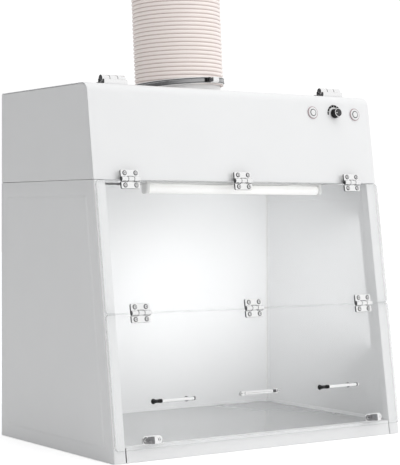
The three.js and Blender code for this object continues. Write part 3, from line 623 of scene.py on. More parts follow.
def side_skin(side):
    """The outer skin of a side panel. Columns go round the folded section and back along the side, rows go
    up. Each point lies behind the sloping front line at its height, and the side swells by the product of
    four soft steps, one inside each edge of the pressed field."""
    sign = -1 if side == "left" else 1
    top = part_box(f"side_panel_{side}")[1].z
    section = folded_section()
    heights = dense(0, top, (FIELD_LOW, FIELD_HIGH), 1.3 * FIELD_STEP, 24)[:, None]
    front = FRONT_FOOT[1] + LEAN_BACK * heights
    near = dense(FOLD_RADIUS + 0.5 * MM, 45 * MM, (FIELD_FRONT,), 1.3 * FIELD_STEP, 5)
    share = np.linspace(0, 1, 12)[1:-1]
    far = dense(150 * MM, REAR, (FIELD_REAR,), 1.3 * FIELD_STEP, 5)
    along = front + 45 * MM + share * (150 * MM - front - 45 * MM)
    y = np.hstack([front + section[:, 1] / -OUTWARD[1], front + near, along, far + 0 * front])
    inside = (
        smoothstep(0, FIELD_STEP, y - front - FIELD_FRONT) * smoothstep(0, FIELD_STEP, FIELD_REAR - y)
        * smoothstep(0, FIELD_STEP, heights - FIELD_LOW) * smoothstep(0, FIELD_STEP, FIELD_HIGH - heights))
    flat = np.full(y.shape[1] - len(section), HALF_WIDTH)
    x = np.concatenate([section[:, 0], flat]) + FIELD_RISE * inside
    points = np.stack([sign * x, y, heights + 0 * y], -1)
    faces = quads(*y.shape, wrap_columns=False)
    return points.reshape(-1, 3), (faces if side == "right" else faces[:, ::-1]).tolist()


def sheet_metal(name, skin, nodes):
    """A skin given the sheet's thickness inwards, with its cut edges rounded."""
    points, faces = skin
    mesh = bpy.data.meshes.new(name)
    mesh.from_pydata(points.tolist(), [], faces)
    mesh.shade_smooth()
    mesh.set_sharp_from_angle(angle=math.radians(40))
    piece = bpy.data.objects.new(name, mesh)
    bpy.context.scene.collection.objects.link(piece)
    wall = piece.modifiers.new("sheet thickness", "SOLIDIFY")
    wall.thickness = SHEET
    wall.offset = -1
    edges = piece.modifiers.new("cut edges", "BEVEL")
    edges.width = 0.35 * MM
    edges.segments = 2
    edges.limit_method = "ANGLE"
    edges.angle_limit = math.radians(60)
    dress(piece, [POWDER], nodes)


for side in ("left", "right"):
    sheet_metal(f"folded_side_{side}", side_skin(side), [f"side_panel_{side}"])

# ---- cabinet: front cover ----------------------------------------------------------------
COVER_BEND = 18 * MM
COVER_FLANGE = 14 * MM
COVER_CHEEK = 2.3 * MM  # how far each inner cheek stands in from the cover's edge


def cover_path():
    """The cover's outer line in (y, z), from its foot up the front, round the bend and back along the top,
    with the inward direction at each point."""
    foot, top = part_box("front_cover")[0].z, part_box("top_panel")[1].z
    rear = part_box("front_cover")[1].y
    bend_z = top - COVER_BEND
    bend_y = FRONT_FOOT[1] + LEAN_BACK * bend_z + COVER_BEND / -OUTWARD[1]
    slope = math.degrees(math.atan2(OUTWARD[2], -OUTWARD[1]))
    climb = np.linspace(foot, bend_z - 2 * MM + COVER_BEND * OUTWARD[2], 14)
    front = np.stack([FRONT_FOOT[1] + LEAN_BACK * climb, climb], -1)
    bend = arc((bend_y, bend_z), COVER_BEND, 180 - slope, 90, 17)
    level = np.stack([np.linspace(bend_y + 1 * MM, rear, 4), np.full(4, top)], -1)
    line = np.concatenate([front, bend, level])
    front_in = np.tile(-OUTWARD[1:], (len(front), 1))
    bend_in = (np.array([bend_y, bend_z]) - bend) / COVER_BEND
    level_in = np.tile([0.0, -1.0], (len(level), 1))
    return line, np.concatenate([front_in, bend_in, level_in])


def cover_shell(x, depth):
    """A band along the cover's path between two depths and across a span of x, as a closed loop of rings.
    The outer face waves by a few hundredths of a millimetre, as rolled sheet does."""
    line, inward = cover_path()
    edge = 0.35 * MM
    span = np.concatenate([[x[0] + edge], np.linspace(x[0] + 3 * MM, x[1] - 3 * MM, 30), [x[1] - edge]])
    wave = 0.05 * MM * np.sin(9.0 * span)[None, :] * np.sin(np.linspace(0, 3 * np.pi, len(line)))[:, None]
    runs = (([x[0]], depth[0] + edge), (span, depth[0]), ([x[1]], depth[0] + edge),
            ([x[1]], depth[1] - edge), (span[::-1], depth[1]), ([x[0]], depth[1] - edge))
    rows = np.array([(position, deep) for at, deep in runs for position in at])
    grid = np.zeros((len(line), len(rows), 3))
    grid[..., 0] = rows[:, 0]
    grid[..., 1:] = line[:, None, :] + inward[:, None, :] * rows[None, :, 1, None]
    first = len(span) + 1
    grid[:, 1:first, 1:] += wave[..., None] * inward[:, None, :]
    return capped(grid)


def flange_shell():
    """The flange folded inwards at the cover's foot."""
    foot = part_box("front_cover")[0].z / UPSLOPE[2]
    half = HALF_WIDTH - COVER_CHEEK - SHEET
    place = on_front(out=-SHEET / 2, up=foot)
    return slab((-half, half), (0.1 * MM, SHEET), [0.5 * MM] * 4, (-COVER_FLANGE + SHEET / 2, 0),
                0.2 * MM, place, steps=2)


def make_cover():
    """Skin, foot flange and two cheeks, all on one hinged cover."""
    inner = HALF_WIDTH - COVER_CHEEK
    shells = [
        cover_shell((-HALF_WIDTH, HALF_WIDTH), (0, SHEET)),
        cover_shell((inner - SHEET, inner), (SHEET / 2, COVER_FLANGE)),
        cover_shell((-inner, -inner + SHEET), (SHEET / 2, COVER_FLANGE)),
        flange_shell(),
    ]
    dress(build("front_cover_skin", shells, sharp=40), [POWDER], ["front_cover"])


make_cover()

# ---- cabinet: plates that keep their CAD shape, with rounded edges ------------------------
TRAY_RIM = 0.5 * MM  # how far above its floor the tray turns from grey to white
BEAD = 2.6 * MM
PLATES = {
    "back_panel": (0.5, POWDER), "base_plate": (0.4, POWDER), "front_sill": (0.5, POWDER),
    "housing_side_left": (0.5, POWDER), "housing_side_right": (0.5, POWDER), "top_panel": (0.6, POWDER),
    "side_liner_left": (0.35, LINER), "side_liner_right": (0.35, LINER), "back_liner": (0.4, LINER),
    "ceiling_plate": (0.4, LINER), "base_tray": (0.6, TRAY), "intake_guard": (0.5, WHITE_PLASTIC),
    "power_inlet": (0.5, BLACK_PLASTIC), "power_supply": (0.8, GALVANISED),
    "speed_control": (0.4, GALVANISED),
}
for node, (radius, material) in PLATES.items():
    plate = softened(node, radius * MM, [material])
    if node == "base_tray":
        plate.data.materials.append(POWDER)
        floor_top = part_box("back_liner")[0].z
        paint_faces(plate, 1, lambda centres, normals: centres[:, 2] > floor_top + TRAY_RIM)


def make_beads():
    """Beads of sealant up the two rear corners of the chamber: a quarter of a circle in plan, a little
    hollow, carried up from the tray to the ceiling."""
    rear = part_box("back_liner")[0].y
    low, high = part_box("base_tray")[1].z + 0.3 * MM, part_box("ceiling_plate")[0].z - 0.3 * MM
    heights = np.linspace(low, high, 30)
    turn = np.radians(np.linspace(0, 90, 7))
    for side, sign in (("left", 1), ("right", -1)):
        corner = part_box(f"side_liner_{side}")[1 if side == "left" else 0].x
        reach = BEAD + 0.3 * MM * np.sin(60 * heights)[:, None]
        x = np.hstack([np.full((len(heights), 1), -1.2 * MM), reach * (1 - np.sin(turn))])
        y = np.hstack([np.full((len(heights), 1), -1.2 * MM), reach * (1 - np.cos(turn))])
        grid = np.stack([corner + sign * x, rear - y, heights[:, None] + 0 * x], -1)
        attach(build(f"corner_bead_{side}", [capped(grid)]), WHITE_PLASTIC, "back_liner")


make_beads()

# ---- exhaust: collar, ribbed hose, clamp and cuff ----------------------------------------
duct_centre = middle("duct_collar")
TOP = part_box("top_panel")[1].z
HOSE_INNER = 77.6 * MM
HOSE_CREST = 81.6 * MM
HOSE_LENGTH = 180 * MM
RIB_PITCH = 7.34 * MM
RIB_HEIGHT = 2.3 * MM
SLEEVE_LENGTH = 12 * MM
CLAMP_LIFT = 5 * MM
CLAMP_TILT = math.radians(2.4)
CLAMP_TURN = math.radians(11.25)  # how far round the hose its screw sits
BAND_RADIUS = 82.1 * MM
hose_axis = np.array(MOUNTS["duct_outlet"]["axis"])
lean_axis = np.cross([0, 0, 1], hose_axis)
lean_axis /= np.linalg.norm(lean_axis)


def turned_about(vector, axis, angle):
    """A vector turned about an axis by an angle, by Rodrigues' formula."""
    vector = np.array(vector, float)
    return (vector * math.cos(angle) + np.cross(axis, vector) * math.sin(angle)
            + axis * (axis @ vector) * (1 - math.cos(angle)))


def leaning(extra=0.0, lift=0.0, turn=0.0):
    """The leaning hose's place function, with more lean, a start further along it and a turn about it."""
    own_lean = math.acos(hose_axis[2])
    lean = own_lean + extra
    foot_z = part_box("duct_hose")[0].z + HOSE_CREST * math.sin(own_lean)
    origin = np.array([duct_centre[0], duct_centre[1], foot_z]) + lift * hose_axis
    cosine, sine = math.cos(turn), math.sin(turn)
    upright = ((cosine, sine, 0), (-sine, cosine, 0), (0, 0, 1))
    axes = [turned_about(axis, lean_axis, lean) for axis in upright]
    return on_axes(origin, *axes)


def make_collar():
    """A spun collar: a flange on the top, a shoulder, and the spigot that the hose slides on."""
    profile = [
        (73.6, 600), (77.2, 600), (77.2, 610.4), (95.2, 610.4), (96, 611.0), (95.6, 612.0), (94.8, 612.4),
        (83.0, 612.5), (81.2, 613.2), (80.5, 614.8), (80.5, 617.6), (79.8, 619.2), (76.4, 621.6),
        (75.8, 622.6), (75.8, 650.6), (75.2, 651.8), (74.2, 651.9), (73.6, 651.0)]
    place = on_axes([duct_centre[0], duct_centre[1], TOP - 610 * MM], out=(0, 1, 0))
    shell = turned(np.array(profile) * MM, place, sides=128, axis="up", loop=True)
    dress(build("spun_collar", [shell], sharp=50), [POWDER], ["duct_collar"])


def make_hose():
    """The film over a wire helix, with a soft white sleeve round its lower end. The outer radius falls
    into a narrow groove once a turn, its depth a power of half a cosine of the phase, which is height
    over pitch plus the turn's share. The film between sags by a slow product of sines. The inner face
    follows half as deep."""
    length = HOSE_LENGTH
    sides = 144
    rows_per_rib = 11
    rows = int(length / RIB_PITCH * rows_per_rib) + 1
    height = np.linspace(0, length, rows)[:, None]
    turn = np.linspace(0, 2 * np.pi, sides, endpoint=False)[None, :]
    phase = 2 * np.pi * height / RIB_PITCH + turn
    ends = smoothstep(0, 3 * MM, height) * smoothstep(0, 3 * MM, length - height)
    groove = (0.5 + 0.5 * np.cos(phase)) ** 2.2 * ends
    sag = 0.2 * MM * np.sin(5 * turn + 40 * height) * np.sin(3 * turn - 90 * height) * ends
    outer = HOSE_CREST - 0.3 * MM - RIB_HEIGHT * groove + sag * (1 - groove)
    inner = HOSE_INNER + 0.4 * MM - 0.4 * MM * groove
    radius = np.vstack([outer, inner[::-1]])
    heights = np.vstack([height + 0 * turn, (height + 0 * turn)[::-1]])
    local = np.stack([radius * np.cos(turn), radius * np.sin(turn), heights], -1)
    piece = build("ribbed_hose", [looped(leaning()(local))], sharp=80)
    # The brown rib line sits in the bottom of each groove, partly as painted shade there.
    line = (0.5 + 0.5 * np.cos(phase)) ** 7
    rib = piece.data.attributes.new("rib", "FLOAT", "POINT")
    rib.data.foreach_set("value", np.vstack([line, line[::-1]]).ravel().astype(np.float32))
    dress(piece, [HOSE_FILM], ["duct_hose"])
    half = SLEEVE_LENGTH / 2 / MM
    profile = [(80.2, -half), (81.2, -half), (81.85, 0.8 - half), (81.8, 1.6 - half), (81.8, half - 2),
               (82.0, half - 1.2), (81.85, half - 0.4), (81.2, half), (80.2, half)]
    place = leaning(CLAMP_TILT, CLAMP_LIFT)
    sleeve = turned(np.array(profile) * MM, place, sides=128, axis="up", loop=True)
    attach(build("hose_end_sleeve", [sleeve], sharp=60), WHITE_PLASTIC, "duct_hose")


def make_cuff():
    """A moulded end cuff with a stop ring and three grip ribs."""
    base = HOSE_LENGTH + 0.4 * MM
    profile = [(77.6, 0), (83.9, 0), (84.5, 0.6)]
    for rib in (7, 13, 19):
        profile += [(84.5, rib), (85.6, rib + 0.8), (85.6, rib + 2.0), (84.5, rib + 2.8)]
    profile += [(84.5, 31.2), (85.2, 32), (87.2, 32), (88, 32.8), (88, 35.2), (87.2, 36), (78.2, 36),
                (77.6, 35.4)]
    shell = turned(np.array(profile) * MM + [0, base], leaning(), sides=128, axis="up", loop=True)
    dress(build("moulded_cuff", [shell], sharp=50), [WHITE_PLASTIC], ["hose_cuff"])


def make_clamp():
    """A worm-drive clamp: a dished band with rolled edges and pressed thread marks near its screw, the
    housing bent over the band, and a slotted hexagon screw."""
    place = leaning(CLAMP_TILT, CLAMP_LIFT, CLAMP_TURN)
    half = [(82.7, 0), (82.75, 1.6), (82.8, 3.0), (83.0, 3.6), (83.15, 4.2), (82.5, 4.5), (82.1, 4.2)]
    profile = np.array([(radius, -height) for radius, height in half[:0:-1]] + half) * MM

    def threads(turn):
        """Slanted marks on the quarter of the band next to the screw, as dips of a third of a millimetre."""
        away = np.degrees(turn) - 282
        near = smoothstep(0, 3, away) * smoothstep(0, 3, 62 - away)
        face = np.array([0, 0, 0, 0.3, 1, 1, 1, 1, 1, 0.3, 0, 0, 0])[:, None]
        mark = np.clip(np.sin(np.radians(away * 150)), 0, 1)
        return -0.3 * MM * face * near * mark
    band = turned(profile, place, sides=360, axis="up", ribs=threads, loop=True)
    # The band's darkened steel is a painted dark reflection; its rolled edges take the dark metal as painted
    # shade.
    strip = dress(build("clamp_strip", [band], sharp=50), [PAINTED_SHADE_STEEL, PAINTED_SHADE_METAL], ["clamp_band"])
    upright = place([0, 0, 1]) - place([0, 0, 0])
    paint_faces(strip, 1, lambda centres, normals: abs(normals @ upright) > 0.12)
    face = BAND_RADIUS + 1.2 * MM
    out = on_axes(place([0, -face, 0]), place([1, 0, 0]) - place([0, 0, 0]),
                  place([0, -1, 0]) - place([0, 0, 0]), place([0, 0, 1]) - place([0, 0, 0]))
    lid = slab((-4 * MM, 12 * MM), (-5.1 * MM, 5.1 * MM), [1.6 * MM] * 4, (-0.4 * MM, 8.2 * MM), 3.2 * MM,
               out, back_fillet=0.3 * MM)
    thread = [(0, -9), (2.6, -9), (3.2, -8.6), (3.2, -8.0), (2.7, -7.6), (3.2, -7.2), (3.2, -6.6),
              (2.7, -6.2), (3.2, -5.8), (3.2, -5.2), (2.7, -4.8), (2.7, -3.5), (0, -3.5)]
    screw_place = lambda points: out(points + np.array([0, 4.2 * MM, 0]))
    screw = turned(np.array(thread) * MM, screw_place, sides=24, axis="across")
    hexagon = [(0, -12.6), (3.4, -12.6), (4.6, -11.9), (4.6, -9.4), (4.1, -8.9), (0, -8.9)]
    head = turned(np.array(hexagon) * MM, screw_place, sides=6, axis="across")
    slot = slab((-13.1 * MM, -12.5 * MM), (-3.6 * MM, 3.6 * MM), [0.2 * MM] * 4, (3.7 * MM, 4.7 * MM),
                0.15 * MM, out, steps=2)
    dress(build("clamp_housing", [lid], sharp=40), [CHROME], ["clamp_screw"])
    dress(build("clamp_worm", [screw, head], sharp=40), [PAINTED_SHADE_METAL], body="cabinet")
    # The screw's slot is a black sheet, painted shade in the slot.
    dress(build("clamp_screw_slot_painted_shade", [slot]), [BLACK_PLASTIC], body="cabinet")


make_collar()
make_hose()
make_cuff()
make_clamp()

# ---- screws ------------------------------------------------------------------------------
def pan_screw(place, radius, height, drive=0.6, sides=40):
    """A pan head with a cross recess. The head's height over its radius is a flattened dome,
    less a dip where either bar of the cross passes, each bar the product of a step across it and one along
    it. The dark ring round it is a painted shadow, made by fit_screws."""
    share = np.concatenate([np.linspace(0.06, 0.9, 13), [0.97, 1.0, 1.0]])
    turn = np.linspace(0, 2 * np.pi, sides, endpoint=False)
    x = share[:, None] * radius * np.cos(turn)
    z = share[:, None] * radius * np.sin(turn)
    dome = height * (1 - 0.35 * share ** 2)
    dome[-3:] = height * np.array([0.56, 0.42, 0.0])
    reach, half = drive * radius, 0.17 * radius
    bar_x = smoothstep(half, 0.5 * half, abs(z)) * smoothstep(reach, 0.85 * reach, abs(x))
    bar_z = smoothstep(half, 0.5 * half, abs(x)) * smoothstep(reach, 0.85 * reach, abs(z))
    out = dome[:, None] - 0.75 * height * np.maximum(bar_x, bar_z)
    return capped(place(np.stack([x, out, z], -1)))


def fit_screws(name, places, radius, height, facing, node):
    """Screws at several places on a node, each on a dark ring that is a painted shadow round its head, with recess
    walls painted dark as shade.
    """
    shells = [pan_screw(place, radius, height) for place in places]
    ring = np.array([(radius + 0.1 * MM, -0.4 * MM), (radius + 1.25 * MM, -0.4 * MM),
                     (radius + 1.25 * MM, 0.08 * MM), (radius + 0.1 * MM, 0.02 * MM)])
    rings = [turned(ring, place, sides=40, loop=True) for place in places]
    piece = dress(build(name, shells, sharp=50), [CHROME, PAINTED_SHADE_METAL], body=BODIES[node])
    # Faces not turned to the front, the recess walls and the head's rim, take the dark metal as painted shade.
    paint_faces(piece, 1, lambda centres, normals: normals @ facing < 0.8)
    # The dark rings round the heads are a painted shadow.
    attach(build(f"{name}_painted_shadow_rings", rings, sharp=50), PAINTED_SHADE_METAL, node)


# ---- hinges ------------------------------------------------------------------------------
def knuckle(span, radius, place, bore=0.0, ends=(True, True)):
    """A barrel along the hinge axis with rolled ends. An end that shows is hollowed as deep as its bore."""
    low, high = span
    edge = 0.12 * radius
    hollow = 1.4 * MM
    start = [(0, low + hollow), (bore, low + hollow), (bore, low)]
    finish = [(bore, high), (bore, high - hollow), (0, high - hollow)]
    profile = start if bore and ends[0] else [(0, low)]
    profile += [(radius - edge, low), (radius - 0.3 * edge, low + 0.3 * edge), (radius, low + edge),
                (radius, high - edge), (radius - 0.3 * edge, high - 0.3 * edge), (radius - edge, high)]
    profile += finish if bore and ends[1] else [(0, high)]
    return turned(profile, place, sides=36, axis="across")


def strap(span, up, reach, base, thick, place):
    """The web that runs from under a barrel into its leaf: a short plate with a rolled top edge."""
    height = (0, reach) if up > 0 else (-reach, 0)
    return slab(span, height, [0.3 * MM] * 4, (base, base + thick), 0.3 * MM, place, steps=2)


LEAF = {"half": 18 * MM, "reach": 15.6 * MM, "gap": 4.5 * MM, "thick": 3.6 * MM, "barrel": 4.1 * MM,
        "middle": 5.8 * MM, "screw_x": 10.5 * MM, "screw": 2.9 * MM}


def door_hinge(kind, side, row, up):
    """One cast leaf of a door hinge, with its barrels, web and two screws. The leaf lies behind the axis."""
    node = f"{kind}_hinge_{side}_{row}_leaf"
    joint = "upper_sash_hinge" if kind == "sash" else "lower_sash_fold"
    out, height = up_out(JOINTS[joint]["pos_m"])
    place = on_front(middle(node)[0], out, height)
    base = -LEAF["thick"] - 0.6 * MM
    low, high = sorted((up * LEAF["gap"], up * LEAF["reach"]))
    big, small = 2.6 * MM, 0.8 * MM
    radii = [small, small, big, big] if up > 0 else [big, big, small, small]
    shells = [slab((-LEAF["half"], LEAF["half"]), (low, high), radii, (base, -0.6 * MM), 0.8 * MM, place,
                   back_fillet=0.2 * MM, crown=0.12 * MM)]
    gap = 0.4 * MM
    if up > 0:
        spans = [(-LEAF["half"], -LEAF["middle"] - gap), (LEAF["middle"] + gap, LEAF["half"])]
    else:
        spans = [(-LEAF["middle"] + gap, LEAF["middle"] - gap)]
    for span in spans:
        ends = (span[0] == -LEAF["half"], span[1] == LEAF["half"])
        shells.append(knuckle(span, LEAF["barrel"], place, bore=2.3 * MM if up > 0 else 0.0, ends=ends))
        shells.append(strap(span, up, LEAF["gap"] + 0.8 * MM, base, LEAF["thick"], place))
    piece = build(f"{node}_casting", shells, sharp=45)
    dress(piece, [CHROME, PAINTED_SHADE_METAL], [node])
    # Every face not turned out of the front, the leaf's sides and the barrels' flanks, takes the dark metal as
    # painted shade.
    paint_faces(piece, 1, lambda centres, normals: normals @ OUTWARD < 0.3)
    rise = height + up * (LEAF["gap"] + LEAF["reach"]) / 2
    if up > 0:
        end = LEAF["half"] / MM - 1.5
        rod = np.array([(0, -end), (3.3, -end), (3.3, end), (0, end)]) * MM
        pin = turned(rod, place, sides=24, axis="across")
        # The pin is dark metal, painted shade inside the barrels' hollow ends.
        attach(build(f"{node}_pin", [pin]), PAINTED_SHADE_METAL, node)
    seats = [on_front(middle(node)[0] + x, out - 0.5 * MM, rise) for x in (-LEAF["screw_x"], LEAF["screw_x"])]
    fit_screws(f"{node}_screws", seats, LEAF["screw"], 1.3 * MM, OUTWARD, node)


for side in ("left", "centre", "right"):
    for kind in ("sash", "fold"):
        door_hinge(kind, side, "upper", 1)
        door_hinge(kind, side, "lower", -1)
    softened(f"sash_hinge_{side}_packer", 0.6 * MM, [WHITE_PLASTIC])


def top_hinge(side):
    """A larger cast hinge on the roof: the rear leaf with two barrels, the short front leaf with one."""
    axis = JOINTS["front_cover_hinge"]["pos_m"]
    rear, front = f"top_hinge_{side}_rear_leaf", f"top_hinge_{side}_front_leaf"
    place = on_axes([middle(rear)[0], axis[1], axis[2]])
    flat = lambda points: place(np.stack([points[..., 0], -points[..., 2], points[..., 1]], -1))
    half, radius, centre_half = 23 * MM, 6 * MM, 7.6 * MM
    low = TOP + 0.3 * MM - axis[2]
    thick = (low, low + 3.2 * MM)
    rear_shells = [slab((-half, half), (6.4 * MM, 30 * MM), [0.8 * MM, 0.8 * MM, 4 * MM, 4 * MM], thick,
                        0.9 * MM, flat, back_fillet=0.2 * MM)]
    for span in ((-half, -centre_half - 0.3 * MM), (centre_half + 0.3 * MM, half)):
        ends = (span[0] == -half, span[1] == half)
        rear_shells.append(knuckle(span, radius, place, bore=3.4 * MM, ends=ends))
        rear_shells.append(slab(span, (1.0 * MM, 7.4 * MM), [0.4 * MM] * 4, (low, -0.5 * MM), 0.4 * MM, flat,
                                steps=2))
    piece = build(f"{rear}_casting", rear_shells, sharp=45)
    dress(piece, [CHROME, PAINTED_SHADE_METAL], [rear])
    # The ends and sides facing across take the dark metal as painted shade.
    paint_faces(piece, 1, lambda centres, normals: abs(normals[:, 0]) > 0.8)
    front_shells = [
        slab((-half, half), (-12.5 * MM, -6.7 * MM), [1.6 * MM, 1.6 * MM, 0.5 * MM, 0.5 * MM],
             (low, -1.2 * MM), 2.0 * MM, flat, back_fillet=0.2 * MM),
        knuckle((-centre_half + 0.1 * MM, centre_half - 0.1 * MM), radius, place),
        slab((-centre_half + 0.1 * MM, centre_half - 0.1 * MM), (-7.4 * MM, -1.0 * MM), [0.4 * MM] * 4,
             (low, -0.5 * MM), 0.4 * MM, flat, steps=2)]
    piece = build(f"{front}_casting", front_shells, sharp=45)
    dress(piece, [CHROME, PAINTED_SHADE_METAL], [front])
    # The ends and sides facing across take the dark metal as painted shade.
    paint_faces(piece, 1, lambda centres, normals: abs(normals[:, 0]) > 0.8)
    seats = []
    for x in (-14 * MM, 14 * MM):
        local = np.array([x, thick[1] - 0.1 * MM, 20 * MM])
        seats.append(lambda points, local=local: flat(points + local))
    fit_screws(f"{rear}_screws", seats, 4.0 * MM, 1.8 * MM, np.array([0.0, 0.0, 1.0]), rear)


for side in ("left", "right"):
    top_hinge(side)

# ---- clear door --------------------------------------------------------------------------
SASH_STANDOFF = 0.4 * MM
SASH_THICKNESS = 5 * MM
SASH_CHAMFER = 0.5 * MM
SASH_CORNER = 6 * MM
SASH_TOP = 454 * MM
SASH_FOOT = 19.6 * MM
SASH_GAP = 1.2 * MM


def sash(node, foot, top):
    """A leaf of the door: a clear sheet with polished faces and a sawn edge painted a darker grey as shade."""
    low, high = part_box(node)
    piece = build(f"{node}_sheet", [slab(
        (low.x, high.x), (foot, top), [SASH_CORNER] * 4,
        (SASH_STANDOFF, SASH_STANDOFF + SASH_THICKNESS), SASH_CHAMFER, on_front(), steps=8)], sharp=30)
    dress(piece, [ACRYLIC, ACRYLIC_EDGE_PAINTED_SHADE], [node])
    # The edge faces are painted grey as shade.
    paint_faces(piece, 1, lambda centres, normals: abs(normals @ OUTWARD) < 0.9)


fold_up = up_out(JOINTS["lower_sash_fold"]["pos_m"])[1]
sash("upper_sash_panel", fold_up + SASH_GAP / 2, SASH_TOP)
sash("lower_sash_panel", SASH_FOOT, fold_up - SASH_GAP / 2)

# ---- pulls and corner tabs ---------------------------------------------------------------
FURNITURE_BASE = SASH_STANDOFF + SASH_THICKNESS + 0.3 * MM
BOW_HALF = 32 * MM
BAR_SCREW_X = 39.5 * MM
BOW_REACH = 27 * MM
BAR_RADIUS = 3.2 * MM
TAB_UP = 33 * MM
TAB_SCREW_X = 13.5 * MM


def make_bow(side):
    """A bow handle: its bar, near leg, and far leg with a collar, the legs and collar dark as painted reflection
    and shade. Lengths run from the bar's middle.
    """
    node = f"bow_handle_{side}"
    centre = middle(node)
    up = up_out(centre)[1]
    tip = FURNITURE_BASE + BOW_REACH - BAR_RADIUS
    place = on_front(centre[0], tip, up)
    end = (BOW_HALF + BAR_RADIUS) / MM
    grip = [(0, 4.4 - end), (2.9, 4.4 - end), (2.95, 0), (2.9, end - 3.4), (2.7, end - 3.0), (3.2, end - 2.6),
            (3.2, end - 0.6), (2.7, end), (0, end)]
    bar = turned(np.array(grip) * MM, place, sides=40, axis="across")
    dress(build(f"{node}_bar", [bar], sharp=40), [CHROME], [node])
    boss = [(0, -end), (2.6, -end), (3.2, 0.7 - end), (3.2, 3.8 - end), (2.8, 4.3 - end), (0, 4.3 - end)]
    legs = [[turned(np.array(boss) * MM, place, sides=32, axis="across")], []]
    for index, x in enumerate((-BOW_HALF, BOW_HALF)):
        foot = -(tip - FURNITURE_BASE) / MM
        leg = [(0, foot), (4.2, foot), (4.5, foot + 0.5), (4.3, foot + 1.4), (3.2, foot + 2.0),
               (2.9, foot + 3.2), (2.9, -5.6), (3.3, -5.0), (3.3, -3.6), (2.6, -2.6), (0, -2.6)]
        local = on_front(centre[0] + x, tip, up)
        legs[index].append(turned(np.array(leg) * MM, local, sides=32))
    # The near leg is black plastic as painted dark reflection and shade on a chrome leg.
    attach(build(f"{node}_near_leg_painted_shade", legs[0], sharp=40), BLACK_PLASTIC, node)
    collar = [(0, end - 4.6), (3.1, end - 4.6), (3.25, end - 4.3), (3.25, end - 3.0), (3.1, end - 2.7),
              (0, end - 2.7)]
    legs[1].append(turned(np.array(collar) * MM, place, sides=32, axis="across"))
    # The far leg and the collar take the dark metal as painted reflection and shade.
    attach(build(f"{node}_far_leg_painted_shade", legs[1], sharp=40), PAINTED_SHADE_METAL, node)


def make_bar_pull():
    """A slim half-round bar held by two domed screws on small feet, with a dark block near one end that is painted
    shade.
    """
    node = "bar_pull"
    centre = middle(node)
    up = up_out(centre)[1]
    place = on_front(centre[0], FURNITURE_BASE, up)
    bar = slab((-33 * MM, 26 * MM), (-3 * MM, 3 * MM), [2.9 * MM] * 4, (0.4 * MM, 5.5 * MM), 2.2 * MM, place,
               back_fillet=0.3 * MM)
    foot = slab((-43.4 * MM, 43.4 * MM), (-3.6 * MM, 3.6 * MM), [3.4 * MM] * 4, (0, 1.2 * MM), 0.4 * MM,
                place, back_fillet=0.1 * MM)
    dress(build("bar_pull_bar", [bar, foot], sharp=40), [CHROME], [node])
    # A dark block near the bar's end: painted shade.
    stop = slab((26.6 * MM, 33 * MM), (-2.6 * MM, 2.6 * MM), [0.8 * MM] * 4, (1 * MM, 4.2 * MM), 0.6 * MM,
                place)
    attach(build("bar_pull_painted_shade_block", [stop]), PAINTED_SHADE_METAL, node)
    seats = [on_front(centre[0] + x, FURNITURE_BASE + 1.1 * MM, up) for x in (-BAR_SCREW_X, BAR_SCREW_X)]
    fit_screws("bar_pull_screws", seats, 2.7 * MM, 1.6 * MM, OUTWARD, node)


def corner_tab(side):
    """A stadium plate with two screws and a fin that stands straight out of it, rounded at its root."""
    node = f"corner_tab_{side}"
    low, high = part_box(node)
    place = on_front((low.x + high.x) / 2, FURNITURE_BASE, TAB_UP)
    plate = slab((-19 * MM, 19 * MM), (-7 * MM, 7 * MM), [6.95 * MM] * 4, (0, 2.4 * MM), 0.7 * MM, place,
                 steps=12, back_fillet=0.1 * MM)
    side_on = lambda points: place(np.stack([points[..., 1] - 10 * MM, points[..., 0], points[..., 2]], -1))
    fin = slab((1.6 * MM, 24.4 * MM), (-6 * MM, 6 * MM), [0.6 * MM, 1.2 * MM, 1.2 * MM, 5 * MM], (0, 5 * MM),
               0.5 * MM, side_on)
    piece = build(f"{node}_stamping", [plate, fin], sharp=40)
    dress(piece, [CHROME, PAINTED_SHADE_STEEL], [node])
    # The fin's face turned left takes the darker steel as painted shade.
    paint_faces(piece, 1, lambda centres, normals: normals[:, 0] < -0.8)
    seats = [on_front((low.x + high.x) / 2 + x, FURNITURE_BASE + 2.3 * MM, TAB_UP)
             for x in (-TAB_SCREW_X, TAB_SCREW_X)]
    fit_screws(f"{node}_screws", seats, 2.7 * MM, 1.2 * MM, OUTWARD, node)


for side in ("left", "right"):
    make_bow(side)
    corner_tab(side)
make_bar_pull()

# ---- switches, knob and scale ------------------------------------------------------------
KNOB_FLUTES = 24
SCALE_RADIUS = 14 * MM
SCALE_START, SCALE_END = 190, 8  # degrees from the right, going over the top
SCALE_MARKS = 7
control_up = up_out(JOINTS["speed_knob_turn"]["pos_m"])[1]


